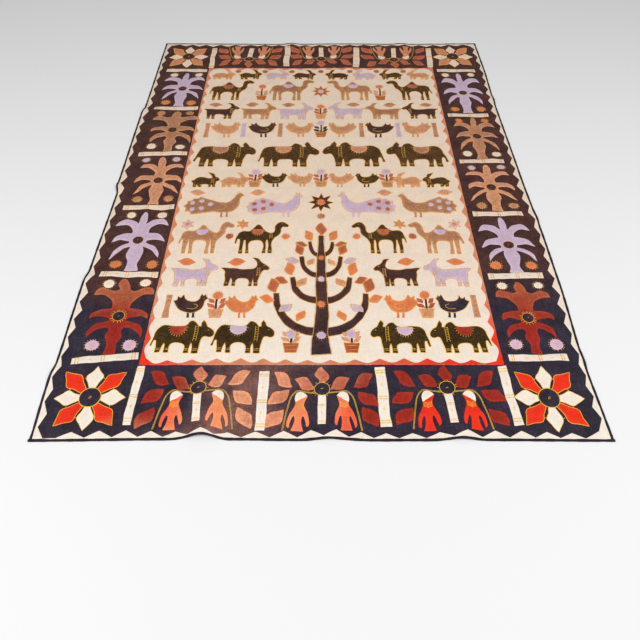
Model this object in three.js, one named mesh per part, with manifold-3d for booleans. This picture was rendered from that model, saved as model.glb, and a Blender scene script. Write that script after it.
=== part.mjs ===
// A kanduri, a votive applique cloth of cotton, lying flat on a floor.
// A cream field is framed by four dark border strips. A red strip with a cut and folded
// sawtooth edge is hemmed over the rim of the field, a cream one over the rim of the
// borders, and a narrow dark tape binds the whole edge.
// Millimetres, +Z up. X runs across the cloth, Y along it, away from its near end.
// The origin is on the floor, under the middle of the cloth.

import * as THREE from "three";
import { mergeVertices } from "three/addons/utils/BufferGeometryUtils.js";
import Module from "manifold-3d";

// Driving dimensions
const CLOTH_WIDTH = 1600;
const CLOTH_LENGTH = 2148;
const SIDE_BORDER = 252; // from the rim to the seam with the field, at the left and right
const END_BORDER = 240; // the same at the near and far ends
const BINDING_WIDTH = 5.5;
const BINDING_TAIL = 7; // loose end of the near binding past each corner

// Thickness of the cloth, layer on layer
const GROUND_THICKNESS = 1.2;
const STRIP_THICKNESS = 0.8;
const GAP = 0.3; // between neighbouring pieces
const BINDING_THICKNESS = 2.6;

// Sawtooth strips: the hem is the plain part, and the teeth stand on it
const OUTER_TEETH = { hem: 3.5, height: 18, pitch: 72, blunt: 0.22 };
const INNER_TEETH = { hem: 3, height: 16, pitch: 68, blunt: 0.3 };
const TOOTH_UNEVEN = 0.22; // share by which a tooth's height and place vary

// How finely the cloth is broken into facets
const STRAY_STEPS = 4; // points between two rows of a stray table
const CLOSEST_STATION = 1; // between a stray point and the end of its edge
const GRID_STEP = 270; // widest spacing of the lines of the cloth's surface
const GRID_MARGIN = 20; // how far the surface reaches past the rim before it is cut out
const CLOSEST_LINES = 9; // between two lines of the surface
const RIPPLE_SHARES = [-1, -0.66, -0.33, 0, 0.33, 0.66, 1]; // lines over a ripple's width
const RIM_REACHES = [45, 90, 135, 180]; // lines along the rim, as distances from it
const CUTTER = { bottom: -30, height: 100 }; // prism that cuts a piece out of a surface

const HALF_WIDTH = CLOTH_WIDTH / 2;
const HALF_LENGTH = CLOTH_LENGTH / 2;
const SEAM_X = HALF_WIDTH - SIDE_BORDER;
const SEAM_Y = HALF_LENGTH - END_BORDER;

// Soft ripples that start at the rim and fade out inwards. Each has the place of its crest
// on the rim, its heading in degrees from +X, how far it reaches, its half width and height.
const RIPPLES = [
  { x: -330, y: -HALF_LENGTH, heading: 84, reach: 236, half: 62, height: 14 },
  { x: 20, y: -HALF_LENGTH, heading: 97, reach: 150, half: 55, height: 4.5 },
  { x: 388, y: -HALF_LENGTH, heading: 100, reach: 190, half: 60, height: 6.5 },
  { x: -HALF_WIDTH, y: -862, heading: 8, reach: 170, half: 42, height: 6 },
  { x: -HALF_WIDTH, y: -500, heading: -6, reach: 190, half: 46, height: 6.5 },
  { x: -HALF_WIDTH, y: -40, heading: 5, reach: 200, half: 40, height: 7.5 },
  { x: -HALF_WIDTH, y: 470, heading: -4, reach: 180, half: 44, height: 6.5 },
  { x: HALF_WIDTH, y: -815, heading: 186, reach: 150, half: 45, height: 4.5 },
  { x: HALF_WIDTH, y: -210, heading: 176, reach: 160, half: 50, height: 4.5 },
  { x: HALF_WIDTH, y: 560, heading: 183, reach: 170, half: 48, height: 5 },
  { x: -150, y: HALF_LENGTH, heading: 268, reach: 170, half: 55, height: 5.5 },
  { x: 410, y: HALF_LENGTH, heading: 274, reach: 150, half: 52, height: 5 },
];

// How far the rim strays outwards at places along each side, in the order of the places
const STRAY_LEFT = [
  { at: -HALF_LENGTH, out: 0 },
  { at: -900, out: 6.5 },
  { at: -835, out: 0.5 },
  { at: -545, out: 5 },
  { at: -465, out: -3.5 },
  { at: -75, out: -7 },
  { at: -15, out: 2.5 },
  { at: 430, out: 6 },
  { at: 500, out: -2 },
  { at: HALF_LENGTH, out: 0 },
];
const STRAY_RIGHT = [
  { at: -HALF_LENGTH, out: 0 },
  { at: -815, out: -6 },
  { at: -520, out: 4 },
  { at: -330, out: 5.5 },
  { at: 40, out: -1 },
  { at: 560, out: -4 },
  { at: 820, out: 2 },
  { at: HALF_LENGTH, out: 0 },
];
const STRAY_NEAR = [
  { at: -HALF_WIDTH, out: 0 },
  { at: -420, out: -4 },
  { at: -330, out: -16 },
  { at: -250, out: -4 },
  { at: -60, out: -2 },
  { at: 20, out: -7 },
  { at: 140, out: -1 },
  { at: 300, out: -1.5 },
  { at: 388, out: -7 },
  { at: 460, out: -2 },
  { at: HALF_WIDTH, out: 0 },
];
const STRAY_FAR = [
  { at: -HALF_WIDTH, out: 0 },
  { at: -150, out: -6 },
  { at: 120, out: -1 },
  { at: 410, out: -6 },
  { at: HALF_WIDTH, out: 0 },
];

const wasm = await Module();
wasm.setup();

const clamp01 = (t) => Math.min(1, Math.max(0, t));
const ease = (t) => t * t * (3 - 2 * t);

// A number from -1 to 1 that jumps about from one index to the next, for hand-cut unevenness
const INDEX_TURN = 12.9898;
const SEED_TURN = 78.233;
const uneven = (index, seed) => Math.sin(index * INDEX_TURN + seed * SEED_TURN);

// The stray of the rim at one place, eased between the rows of a table
function strayAt(table, at) {
  const next = table.findIndex((row) => row.at >= at);
  if (next <= 0) return next ? table[table.length - 1].out : table[0].out;
  const a = table[next - 1];
  const b = table[next];
  return a.out + (b.out - a.out) * ease((at - a.at) / (b.at - a.at));
}

// Where a point of the flat cut cloth lies on the floor: the rim strays, the seams don't
function lay([u, v]) {
  const left = clamp01(1 - (u + HALF_WIDTH) / SIDE_BORDER);
  const right = clamp01(1 - (HALF_WIDTH - u) / SIDE_BORDER);
  const near = clamp01(1 - (v + HALF_LENGTH) / END_BORDER);
  const far = clamp01(1 - (HALF_LENGTH - v) / END_BORDER);
  return [
    u - left * strayAt(STRAY_LEFT, v) + right * strayAt(STRAY_RIGHT, v),
    v - near * strayAt(STRAY_NEAR, u) + far * strayAt(STRAY_FAR, u),
  ];
}

// Height of the cloth's underside over the floor, from the ripples
function liftAt(x, y) {
  let lift = 0;
  for (const r of RIPPLES) {
    const turn = (r.heading * Math.PI) / 180;
    const along = (x - r.x) * Math.cos(turn) + (y - r.y) * Math.sin(turn);
    const across = (y - r.y) * Math.cos(turn) - (x - r.x) * Math.sin(turn);
    const side = clamp01(Math.abs(across) / r.half);
    const fade = 1 - ease(clamp01(along / r.reach));
    lift += r.height * fade * (1 - ease(side));
  }
  return lift;
}

// Lines of the surface grid: close together where ripples cross them, wide elsewhere
function gridLines(half, onRim, acrossRim) {
  const lines = [-half - GRID_MARGIN, half + GRID_MARGIN];
  const steps = Math.ceil((2 * half) / GRID_STEP);
  for (let i = 0; i <= steps; i++) lines.push(-half + (2 * half * i) / steps);
  for (const place of onRim) {
    for (const share of RIPPLE_SHARES) lines.push(place.centre + share * place.half);
  }
  for (const reach of acrossRim) lines.push(-half + reach, half - reach);
  lines.sort((a, b) => a - b);
  return lines.filter((line, i) => i === 0 || line - lines[i - 1] > CLOSEST_LINES);
}
const endRipples = RIPPLES.filter((r) => Math.abs(r.y) === HALF_LENGTH);
const sideRipples = RIPPLES.filter((r) => Math.abs(r.x) === HALF_WIDTH);
const RIPPLED_GRID = {
  x: gridLines(HALF_WIDTH, endRipples.map((r) => ({ centre: r.x, half: r.half })), RIM_REACHES),
  y: gridLines(HALF_LENGTH, sideRipples.map((r) => ({ centre: r.y, half: r.half })), RIM_REACHES),
};
const FLAT_GRID = { x: [-HALF_WIDTH, HALF_WIDTH], y: [-HALF_LENGTH, HALF_LENGTH] };

function solidFrom(positions, triangles) {
  return new wasm.Manifold(
    new wasm.Mesh({
      numProp: 3,
      vertProperties: new Float32Array(positions),
      triVerts: new Uint32Array(triangles),
    }),
  );
}

// The whole cloth's surface as a slab that follows the ripples, from bottom to top height
function slabOf(grid, bottom, top) {
  const columns = grid.x.length;
  const rows = grid.y.length;
  const positions = [];
  for (const z of [bottom, top]) {
    for (const y of grid.y) {
      for (const x of grid.x) positions.push(x, y, z + liftAt(x, y));
    }
  }
  const upper = columns * rows;
  const triangles = [];
  for (let j = 0; j < rows - 1; j++) {
    for (let i = 0; i < columns - 1; i++) {
      const a = j * columns + i;
      const b = a + 1;
      const c = a + columns + 1;
      const d = a + columns;
      triangles.push(a, c, b, a, d, c);
      triangles.push(upper + a, upper + b, upper + c, upper + a, upper + c, upper + d);
    }
  }
  const wall = (a, b) => triangles.push(a, b, upper + b, a, upper + b, upper + a);
  for (let i = 0; i < columns - 1; i++) {
    wall(i, i + 1);
    wall((rows - 1) * columns + i + 1, (rows - 1) * columns + i);
  }
  for (let j = 0; j < rows - 1; j++) {
    wall((j + 1) * columns - 1, (j + 2) * columns - 1);
    wall((j + 1) * columns, j * columns);
  }
  return solidFrom(positions, triangles);
}

const STRIP_BOTTOM = GROUND_THICKNESS + GAP;
const slabs = {
  field: slabOf(FLAT_GRID, 0, GROUND_THICKNESS),
  border: slabOf(RIPPLED_GRID, 0, GROUND_THICKNESS),
  fieldStrip: slabOf(FLAT_GRID, STRIP_BOTTOM, STRIP_BOTTOM + STRIP_THICKNESS),
  borderStrip: slabOf(RIPPLED_GRID, STRIP_BOTTOM, STRIP_BOTTOM + STRIP_THICKNESS),
  binding: slabOf(RIPPLED_GRID, 0, BINDING_THICKNESS),
};

// A piece of cloth: the part of a slab that lies over an outline on the flat cut cloth
function clothPiece(slab, outline) {
  const shape = new THREE.Shape(outline.map((point) => new THREE.Vector2(...lay(point))));
  const prism = new THREE.ExtrudeGeometry(shape, { depth: CUTTER.height, bevelEnabled: false });
  prism.translate(0, 0, CUTTER.bottom);
  prism.deleteAttribute("normal");
  prism.deleteAttribute("uv");
  const merged = mergeVertices(prism);
  const cutter = solidFrom(merged.attributes.position.array, merged.index.array);
  const mesh = slab.intersect(cutter).getMesh();
  const geometry = new THREE.BufferGeometry();
  geometry.setAttribute("position", new THREE.BufferAttribute(mesh.vertProperties, 3));
  geometry.setIndex(new THREE.BufferAttribute(mesh.triVerts, 1));
  geometry.computeVertexNormals();
  return geometry;
}

// Places from one end of an edge to the other: its ends, and steps between the rows of the
// stray table of its side, so that every piece along that side is broken at the same places
function stations(table, from, to) {
  const low = Math.min(from, to);
  const high = Math.max(from, to);
  const inside = [];
  for (let row = 0; row < table.length - 1; row++) {
    const span = table[row + 1].at - table[row].at;
    for (let step = 0; step < STRAY_STEPS; step++) {
      const place = table[row].at + (span * step) / STRAY_STEPS;
      const clear = Math.min(place - low, high - place);
      if (clear > CLOSEST_STATION) inside.push(place);
    }
  }
  if (to < from) inside.reverse();
  return [from, ...inside, to];
}

// A rectangle whose edges outside the seams are broken at the stations of their side
function rectangle(x0, y0, x1, y1) {
  const outline = [];
  const acrossTable = (y) => (Math.abs(y) > SEAM_Y + GAP ? (y < 0 ? STRAY_NEAR : STRAY_FAR) : []);
  const alongTable = (x) => (Math.abs(x) > SEAM_X + GAP ? (x < 0 ? STRAY_LEFT : STRAY_RIGHT) : []);
  for (const x of stations(acrossTable(y0), x0, x1).slice(0, -1)) outline.push([x, y0]);
  for (const y of stations(alongTable(x1), y0, y1).slice(0, -1)) outline.push([x1, y]);
  for (const x of stations(acrossTable(y1), x1, x0).slice(0, -1)) outline.push([x, y1]);
  for (const y of stations(alongTable(x0), y1, y0).slice(0, -1)) outline.push([x0, y]);
  return outline;
}

// A sawtooth strip along one side: a straight edge, and teeth that point to the middle of
// the cloth. It is worked out in along and inward distances, and place() sets it down.
// The ends are cut at 45 degrees where they meet the neighbouring strips, as a mitre, and
// from there to the first tooth the strip keeps its full width, as a solid corner.
function sawtoothStrip(length, teeth, table, seed, place) {
  const half = length / 2 - GAP * Math.SQRT1_2;
  const outline = stations(table, -half, half).map((along) => place(along, 0));
  const count = Math.round((length - 2 * teeth.pitch) / teeth.pitch);
  const pitch = (length - 2 * teeth.pitch) / count;
  const peak = teeth.hem + teeth.height;
  outline.push(place(half - peak, peak));
  for (let i = count; i >= 0; i--) {
    const wander = (TOOTH_UNEVEN * uneven(i, seed)) / 2;
    const centre = (i - count / 2 + (i % count ? wander : 0)) * pitch;
    const tip = peak * (1 - TOOTH_UNEVEN / 2 + wander);
    const toValley = (pitch * (1 - teeth.blunt)) / 2;
    if (i < count) outline.push(place(centre + toValley, teeth.hem));
    outline.push(place(centre, tip));
    if (i > 0) outline.push(place(centre - toValley, teeth.hem));
  }
  outline.push(place(-half + peak, peak));
  return outline;
}

const cotton = (color, roughness) =>
  new THREE.MeshStandardMaterial({ color, roughness, metalness: 0 });
const materials = {
  cream: cotton(0xe9dcc6, 0.92),
  dark: cotton(0x3a2c38, 0.9),
  red: cotton(0xdf5a35, 0.9),
  tape: cotton(0x2a2228, 0.85),
};

const cloth = new THREE.Group();
function addPiece(name, slab, outline, material) {
  const mesh = new THREE.Mesh(clothPiece(slab, outline), material);
  mesh.name = name;
  cloth.add(mesh);
}

// Field and borders: one layer of ground cloth, seamed edge to edge.
// The near and far borders run the full width, and the side borders lie between them.
const HALF_GAP = GAP / 2;
const EDGE_X = HALF_WIDTH - BINDING_WIDTH - HALF_GAP;
const EDGE_Y = HALF_LENGTH - BINDING_WIDTH - HALF_GAP;
const FIELD_X = SEAM_X - HALF_GAP;
const FIELD_Y = SEAM_Y - HALF_GAP;
addPiece("field", slabs.field, rectangle(-FIELD_X, -FIELD_Y, FIELD_X, FIELD_Y), materials.cream);
addPiece(
  "border_near",
  slabs.border,
  rectangle(-EDGE_X, -EDGE_Y, EDGE_X, -SEAM_Y - HALF_GAP),
  materials.dark,
);
addPiece(
  "border_far",
  slabs.border,
  rectangle(-EDGE_X, SEAM_Y + HALF_GAP, EDGE_X, EDGE_Y),
  materials.dark,
);
addPiece(
  "border_left",
  slabs.border,
  rectangle(-EDGE_X, -FIELD_Y, -SEAM_X - HALF_GAP, FIELD_Y),
  materials.dark,
);
addPiece(
  "border_right",
  slabs.border,
  rectangle(SEAM_X + HALF_GAP, -FIELD_Y, EDGE_X, FIELD_Y),
  materials.dark,
);

// The two sawtooth frames, each of four mitred strips lying on the ground cloth
const mirrored = (table) => table.map(({ at, out }) => ({ at: -at, out })).reverse();
const straight = [];
const outerFrame = {
  name: "teeth_outer",
  slab: slabs.borderStrip,
  halfX: EDGE_X,
  halfY: EDGE_Y,
  teeth: OUTER_TEETH,
  material: materials.cream,
  tables: [STRAY_NEAR, STRAY_RIGHT, mirrored(STRAY_FAR), mirrored(STRAY_LEFT)],
};
const innerFrame = {
  name: "teeth_inner",
  slab: slabs.fieldStrip,
  halfX: FIELD_X,
  halfY: FIELD_Y,
  teeth: INNER_TEETH,
  material: materials.red,
  tables: [straight, straight, straight, straight],
};
[outerFrame, innerFrame].forEach(({ name, slab, halfX, halfY, teeth, material, tables }, frame) => {
  const sides = [
    { side: "near", length: 2 * halfX, place: (a, inward) => [a, -halfY + inward] },
    { side: "right", length: 2 * halfY, place: (a, inward) => [halfX - inward, a] },
    { side: "far", length: 2 * halfX, place: (a, inward) => [-a, halfY - inward] },
    { side: "left", length: 2 * halfY, place: (a, inward) => [-halfX + inward, -a] },
  ];
  sides.forEach(({ side, length, place }, index) => {
    const seed = frame * sides.length + index + 1;
    const outline = sawtoothStrip(length, teeth, tables[index], seed, place);
    addPiece(`${name}_${side}`, slab, outline, material);
  });
});

// Binding: the near and far tapes run over the ends of the side tapes.
// The near tape's ends were left long, and stick out past the corners.
const RIM_X = HALF_WIDTH;
const RIM_Y = HALF_LENGTH;
const TAPE_X = HALF_WIDTH - BINDING_WIDTH;
const TAPE_Y = HALF_LENGTH - BINDING_WIDTH;
addPiece(
  "binding_near",
  slabs.binding,
  rectangle(-RIM_X - BINDING_TAIL, -RIM_Y, RIM_X + BINDING_TAIL, -TAPE_Y),
  materials.tape,
);
addPiece("binding_far", slabs.binding, rectangle(-RIM_X, TAPE_Y, RIM_X, RIM_Y), materials.tape);
addPiece(
  "binding_left",
  slabs.binding,
  rectangle(-RIM_X, -TAPE_Y + GAP, -TAPE_X, TAPE_Y - GAP),
  materials.tape,
);
addPiece(
  "binding_right",
  slabs.binding,
  rectangle(TAPE_X, -TAPE_Y + GAP, RIM_X, TAPE_Y - GAP),
  materials.tape,
);

export default cloth;
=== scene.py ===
# %% [markdown]
# A kanduri is a votive cloth of cotton applique. Dark strips frame a cream field, cut cotton
# figures are sewn over both, and yellow thread is couched round them. The frame of this
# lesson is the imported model: the field, the four border strips, the sawtooth strips and the
# binding tape at their real sizes. They are plain there, so the script lays finer sheets in
# their places and sews the applique on.

# %% Load the frame
import math
import bpy
import numpy as np
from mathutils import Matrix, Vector, geometry


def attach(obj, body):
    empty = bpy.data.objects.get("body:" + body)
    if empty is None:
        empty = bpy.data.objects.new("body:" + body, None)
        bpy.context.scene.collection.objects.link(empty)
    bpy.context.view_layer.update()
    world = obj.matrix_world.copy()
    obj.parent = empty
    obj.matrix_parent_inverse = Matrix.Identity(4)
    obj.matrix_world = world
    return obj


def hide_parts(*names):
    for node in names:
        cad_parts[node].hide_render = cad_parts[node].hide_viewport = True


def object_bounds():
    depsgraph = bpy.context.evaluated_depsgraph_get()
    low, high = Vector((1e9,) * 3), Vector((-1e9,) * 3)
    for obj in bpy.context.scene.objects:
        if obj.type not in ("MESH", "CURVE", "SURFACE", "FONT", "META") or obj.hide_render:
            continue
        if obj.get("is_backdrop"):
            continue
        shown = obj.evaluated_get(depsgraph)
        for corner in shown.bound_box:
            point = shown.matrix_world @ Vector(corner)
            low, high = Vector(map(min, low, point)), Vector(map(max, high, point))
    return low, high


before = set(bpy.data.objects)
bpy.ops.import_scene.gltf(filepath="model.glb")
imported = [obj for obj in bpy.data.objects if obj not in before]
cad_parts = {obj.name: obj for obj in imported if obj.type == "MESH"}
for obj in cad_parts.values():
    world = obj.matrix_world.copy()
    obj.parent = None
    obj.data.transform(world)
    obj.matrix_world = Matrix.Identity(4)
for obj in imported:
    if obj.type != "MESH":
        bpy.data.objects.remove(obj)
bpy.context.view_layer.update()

# %% [markdown]
# All the sewing is drawn on the flat cloth in millimetres, before it is laid down: u runs
# across from the left edge to the right, v from the near end to the far one, and (0, 0) is
# the middle. The sizes are those of the model, as its pieces are cut.

# %% The flat cloth
MM = 0.001
WIDTH, LENGTH = 1600.0, 2148.0
SIDE_BORDER, END_BORDER = 252.0, 240.0
HALF_W, HALF_L = WIDTH / 2, LENGTH / 2
SEAM_U, SEAM_V = HALF_W - SIDE_BORDER, HALF_L - END_BORDER
# The width of the binding, and the thickness of the ground cloth and of a patch on it.
BINDING = 5.5
GROUND = 1.2
PATCH = 0.8
print("field", 2 * SEAM_U, "by", 2 * SEAM_V, "mm")

# %% [markdown]
# A cloth never lies quite square. Its rim strays a few millimetres in and out, and from
# there shallow ripples run in and die away. Both are eased between named places, so that
# they have no kinks, and both are the model's own, so that the fine cloth lies where the
# plain one does.

# %% How the cloth lies
STRAY_LEFT = [(-1074, 0), (-900, 6.5), (-835, 0.5), (-545, 5), (-465, -3.5), (-75, -7),
              (-15, 2.5), (430, 6), (500, -2), (1074, 0)]
STRAY_RIGHT = [(-1074, 0), (-815, -6), (-520, 4), (-330, 5.5), (40, -1), (560, -4),
               (820, 2), (1074, 0)]
STRAY_NEAR = [(-800, 0), (-420, -4), (-330, -16), (-250, -4), (-60, -2), (20, -7),
              (140, -1), (300, -1.5), (388, -7), (460, -2), (800, 0)]
STRAY_FAR = [(-800, 0), (-150, -6), (120, -1), (410, -6), (800, 0)]
# Each ripple: where it starts on the rim, its heading in degrees, reach, half width, height.
RIPPLES = [(-330, -HALF_L, 84, 236, 62, 14), (20, -HALF_L, 97, 150, 55, 4.5),
           (388, -HALF_L, 100, 190, 60, 6.5), (-HALF_W, -862, 8, 170, 42, 6),
           (-HALF_W, -500, -6, 190, 46, 6.5), (-HALF_W, -40, 5, 200, 40, 7.5),
           (-HALF_W, 470, -4, 180, 44, 6.5), (HALF_W, -815, 186, 150, 45, 4.5),
           (HALF_W, -210, 176, 160, 50, 4.5), (HALF_W, 560, 183, 170, 48, 5),
           (-150, HALF_L, 268, 170, 55, 5.5), (410, HALF_L, 274, 150, 52, 5)]


def ease(t):
    """Goes from 0 to 1 with level ends: 3 t squared less 2 t cubed, t held within 0 and 1."""
    t = np.clip(t, 0.0, 1.0)
    return t * t * (3 - 2 * t)


def stray(table, at):
    """How far the rim strays at a place along it, eased from one row to the next."""
    places, outs = np.array(table, float).T
    row = np.clip(np.searchsorted(places, at) - 1, 0, len(places) - 2)
    share = ease((at - places[row]) / (places[row + 1] - places[row]))
    return outs[row] + (outs[row + 1] - outs[row]) * share


def from_rim(place, half, border):
    """How far out in a border a point lies, towards its low side and towards its high side:
    1 at the rim, falling to 0 at the seam and inside it."""
    return [np.clip(1 - (half + side * place) / border, 0, 1) for side in (1, -1)]


def lay(u, v):
    """Where a point of the flat cloth lies: the border takes the rim's stray in proportion."""
    left, right = from_rim(u, HALF_W, SIDE_BORDER)
    near, far = from_rim(v, HALF_L, END_BORDER)
    x = u - left * stray(STRAY_LEFT, v) + right * stray(STRAY_RIGHT, v)
    y = v - near * stray(STRAY_NEAR, u) + far * stray(STRAY_FAR, u)
    return x, y


def lift(x, y):
    """How high the cloth is off the floor: each ripple falls off along its heading and
    to both sides, by the same easing."""
    total = np.zeros_like(x)
    for start_x, start_y, heading, reach, half, height in RIPPLES:
        turn = math.radians(heading)
        along = (x - start_x) * math.cos(turn) + (y - start_y) * math.sin(turn)
        across = (y - start_y) * math.cos(turn) - (x - start_x) * math.sin(turn)
        total = total + height * (1 - ease(along / reach)) * (1 - ease(np.abs(across) / half))
    return total


near_rim = np.linspace(-HALF_W, HALF_W, 801)
highest = lift(*lay(near_rim, np.full_like(near_rim, -HALF_L))).max()
print("highest ripple", round(float(highest), 2), "mm")

# %% [markdown]
# On top of the ripples comes what hand sewing does to thin cotton: broad swells, finer
# wrinkles that run more or less along the weave, and puckers where a seam draws the cloth
# in. They could be a bump in the material, but the real mesh catches light at its rim and
# from the side too, so they are heights, added up from waves of chosen lengths.

# %% Swells, wrinkles and puckers
rng = np.random.default_rng(23)


def waves(count, shortest, longest, height):
    """A set of waves: heading, length, phase and height of each, drawn by chance."""
    length = rng.uniform(shortest, longest, count)
    return np.column_stack([rng.uniform(0, math.pi, count), length,
                            rng.uniform(0, 2 * math.pi, count), height * length / longest])


SWELLS = waves(7, 150, 420, 0.45)
WRINKLES = waves(11, 30, 95, 0.36)


def surge(u, v, table):
    """The sum of plane waves: height times the sine of the way along each heading."""
    total = np.zeros_like(u)
    for heading, length, phase, height in table:
        way = u * math.cos(heading) + v * math.sin(heading)
        total = total + height * np.sin(way * 2 * math.pi / length + phase)
    return total


# In mm: how far the swells bend the wrinkles; how close the puckers are, how far from a seam
# they reach and how high they are; and how far the ditch along a seam reaches, and its depth.
BEND = 16
PUCKER_PITCH, PUCKER_REACH, PUCKER_HEIGHT = 23, 30, 0.34
DITCH_REACH, DITCH_DEPTH = 2.5, 0.5
# How high the face lies on the whole; what share of all this the tape leaves at the rim; how
# far in it begins to rise from there, and over what way it does.
LOFT, HELD_SHARE, HELD_TO, FREE_OVER = 1.5, 0.12, 4, 34


def relief(u, v):
    """Height of the cloth's face over flat cotton, in mm and never below nothing: swells,
    wrinkles bent by the swells, and a ditch along each seam with puckers across it. All of
    it dies away towards the rim, where the tape holds the cloth flat."""
    bend = BEND * surge(v, u, SWELLS)
    total = surge(u, v, SWELLS) + surge(u + bend, v - bend, WRINKLES)
    to_side, to_end = np.abs(np.abs(u) - SEAM_U), np.abs(np.abs(v) - SEAM_V)
    for near, along in ((to_side, v), (to_end, u)):
        drift = 2.6 * np.sin(along / 37.0)
        pucker = np.sin(along * 2 * math.pi / PUCKER_PITCH + drift) * (1 + 0.5 * np.sin(along / 61.0))
        total = total + np.exp(-near / PUCKER_REACH) * PUCKER_HEIGHT * pucker
        total = total - DITCH_DEPTH * np.exp(-near / DITCH_REACH)
    to_rim = np.minimum(HALF_W - np.abs(u), HALF_L - np.abs(v))
    free = HELD_SHARE + (1 - HELD_SHARE) * ease((to_rim - HELD_TO) / FREE_OVER)
    return np.maximum((total + LOFT) * free, 0.05)


def settle(u, v, height):
    """The place in metres of points at a height in mm over the ground cloth's face."""
    x, y = lay(u, v)
    z = lift(x, y) + GROUND + relief(u, v) + height
    return np.column_stack([x, y, z]) * MM


heights = relief(*np.meshgrid(np.linspace(-790, 790, 300), np.linspace(-1060, 1060, 400)))
print("relief from", round(float(heights.min()), 2), "to", round(float(heights.max()), 2), "mm")

# %% [markdown]
# Every cotton here was dyed with colours that the light has bleached: the corners still
# hold navy and turkey red, and from there the cloth fades to mauve, brown and salmon. One
# kind of material does it for every dye, built of nodes that read Object coordinates, so
# the fading runs on across all the pieces, as it does on the cloth. A picture would do it
# too, but it could not be changed or used at another size.

# %% A finish built of nodes
class Finish:
    """One procedural material, with short calls for the nodes that it is built of."""

    def __init__(self, name, roughness=0.94, specular=0.16, sheen=0.03):
        self.material = bpy.data.materials.new(name)
        self.material.use_nodes = True
        self.tree = self.material.node_tree
        self.shader = self.tree.nodes["Principled BSDF"]
        self.surface("Roughness", roughness)
        self.surface("Specular IOR Level", specular)
        self.surface("Sheen Weight", sheen)
        self.surface("Sheen Roughness", 0.5)
        self.place = self.node("ShaderNodeTexCoord").outputs["Object"]

    def feed(self, socket, value):
        """Links an input to another node's output, or sets it to a value."""
        if isinstance(value, bpy.types.NodeSocket):
            self.tree.links.new(value, socket)
        elif value is not None:
            socket.default_value = value

    def surface(self, name, value):
        """Feeds one of the shader's own inputs."""
        self.feed(self.shader.inputs[name], value)

    def node(self, kind, *given, **settings):
        """Adds a node, sets its settings, and feeds its first inputs."""
        made = self.tree.nodes.new(kind)
        for name, value in settings.items():
            setattr(made, name, value)
        for socket, value in zip(made.inputs, given):
            self.feed(socket, value)
        return made

    def math(self, operation, *given):
        """One step of arithmetic."""
        return self.node("ShaderNodeMath", *given, operation=operation).outputs[0]

    def vector(self, operation, *given):
        """One step of arithmetic on places: the outputs of its node."""
        return self.node("ShaderNodeVectorMath", *given, operation=operation).outputs

    def noise(self, size, detail, stretch=(1, 1, 1)):
        """Noise with spots about size metres, drawn out by stretch: the outputs of its node."""
        scale = [1 / (size * longer) for longer in stretch]
        spread = self.node("ShaderNodeMapping", self.place, None, None, scale)
        made = self.node("ShaderNodeTexNoise", spread.outputs[0])
        for name, value in (("Scale", 1.0), ("Detail", detail), ("Roughness", 0.55)):
            made.inputs[name].default_value = value
        return made.outputs

    def span(self, value, low, high, to_low, to_high, smooth=False):
        """Carries a value from one range to another, held within it."""
        made = self.node("ShaderNodeMapRange", value, low, high, to_low, to_high)
        made.interpolation_type = "SMOOTHSTEP" if smooth else "LINEAR"
        return made.outputs[0]

    def clouds(self, low, high, *noise):
        """Noise from low to high. Most of it lies between 0.3 and 0.7, so those are its ends."""
        return self.span(self.noise(*noise)[0], 0.3, 0.7, low, high)

    def mix(self, share, first, second):
        """The first colour where the share is 0, and the second where it is 1."""
        made = self.node("ShaderNodeMix", share, data_type="RGBA")
        self.feed(made.inputs[6], first)
        self.feed(made.inputs[7], second)
        return made.outputs[2]


def dye(red, green, blue):
    """A screen colour of 0 to 255 as the linear light that a shader takes."""
    parts = np.array([red, green, blue]) / 255
    linear = np.where(parts <= 0.04045, parts / 12.92, ((parts + 0.055) / 1.055) ** 2.4)
    return (*linear.tolist(), 1.0)


print("middle grey as linear light:", round(dye(128, 128, 128)[0], 3))

# %% [markdown]
# The corners that kept their dye are two oval areas. Their edges are moved about by noise,
# so that the fading has the drifts of a cloth that hung half in the shade.

# %% Where the dye is still fresh
# Each area: its middle, and its reach across and along the cloth, in metres.
FRESH_AREAS = [((-0.79, -0.86), (0.44, 0.27)), ((0.75, -1.11), (0.80, 0.54))]
# The half width of their edges, in reaches; the size of the drifts and how far they go.
FADING = 0.24
DRIFT_SIZE, DRIFT = 0.16, 0.22


def freshness(finish, hold):
    """1 where the dye is fresh and 0 where it has faded: the larger share of the two areas.
    The share falls from 1 to 0 as the distance, in reaches, passes 1 and the dye's hold."""
    drift = finish.vector("SUBTRACT", finish.noise(DRIFT_SIZE, 3.0)["Color"], (0.5, 0.5, 0.5))[0]
    drift = finish.vector("MULTIPLY", drift, (DRIFT, DRIFT, 0.0))[0]
    place = finish.vector("ADD", drift, finish.place)[0]
    shares = []
    for (x, y), (across, along) in FRESH_AREAS:
        away = finish.vector("SUBTRACT", place, (x, y, 0))[0]
        away = finish.vector("DIVIDE", away, (across, along, 1))[0]
        away = finish.vector("LENGTH", away)["Value"]
        shares.append(finish.span(away, 1 + hold - FADING, 1 + hold + FADING, 1.0, 0.0, smooth=True))
    return finish.math("MAXIMUM", *shares)


reach_in = [round(x - math.copysign(across, x), 2) for (x, _), (across, _) in FRESH_AREAS]
print("fresh dye reaches in from each side to x at", reach_in, "m")

# %% [markdown]
# All the cotton is one plain weave. Its value varies in clouds where it was bleached
# unevenly, along the slubs of weft and warp, and in specks, and each scrap is lighter along
# its rubbed rim. Two waves square to each other make a bump for the threads, because a
# weave of about a millimetre is too fine for the mesh.

# %% Cotton
# The sizes of the clouds, the slubs and the specks, in metres.
CLOUD, SLUB, SPECK = 0.055, 0.003, 0.0065
# How far the slubs are drawn out across the cloth, as the weft runs, and along it.
WEFT, WARP = (9, 1, 1), (1, 11, 1)
THREAD_PITCH, THREAD_DEPTH = 0.9, 0.3
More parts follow.
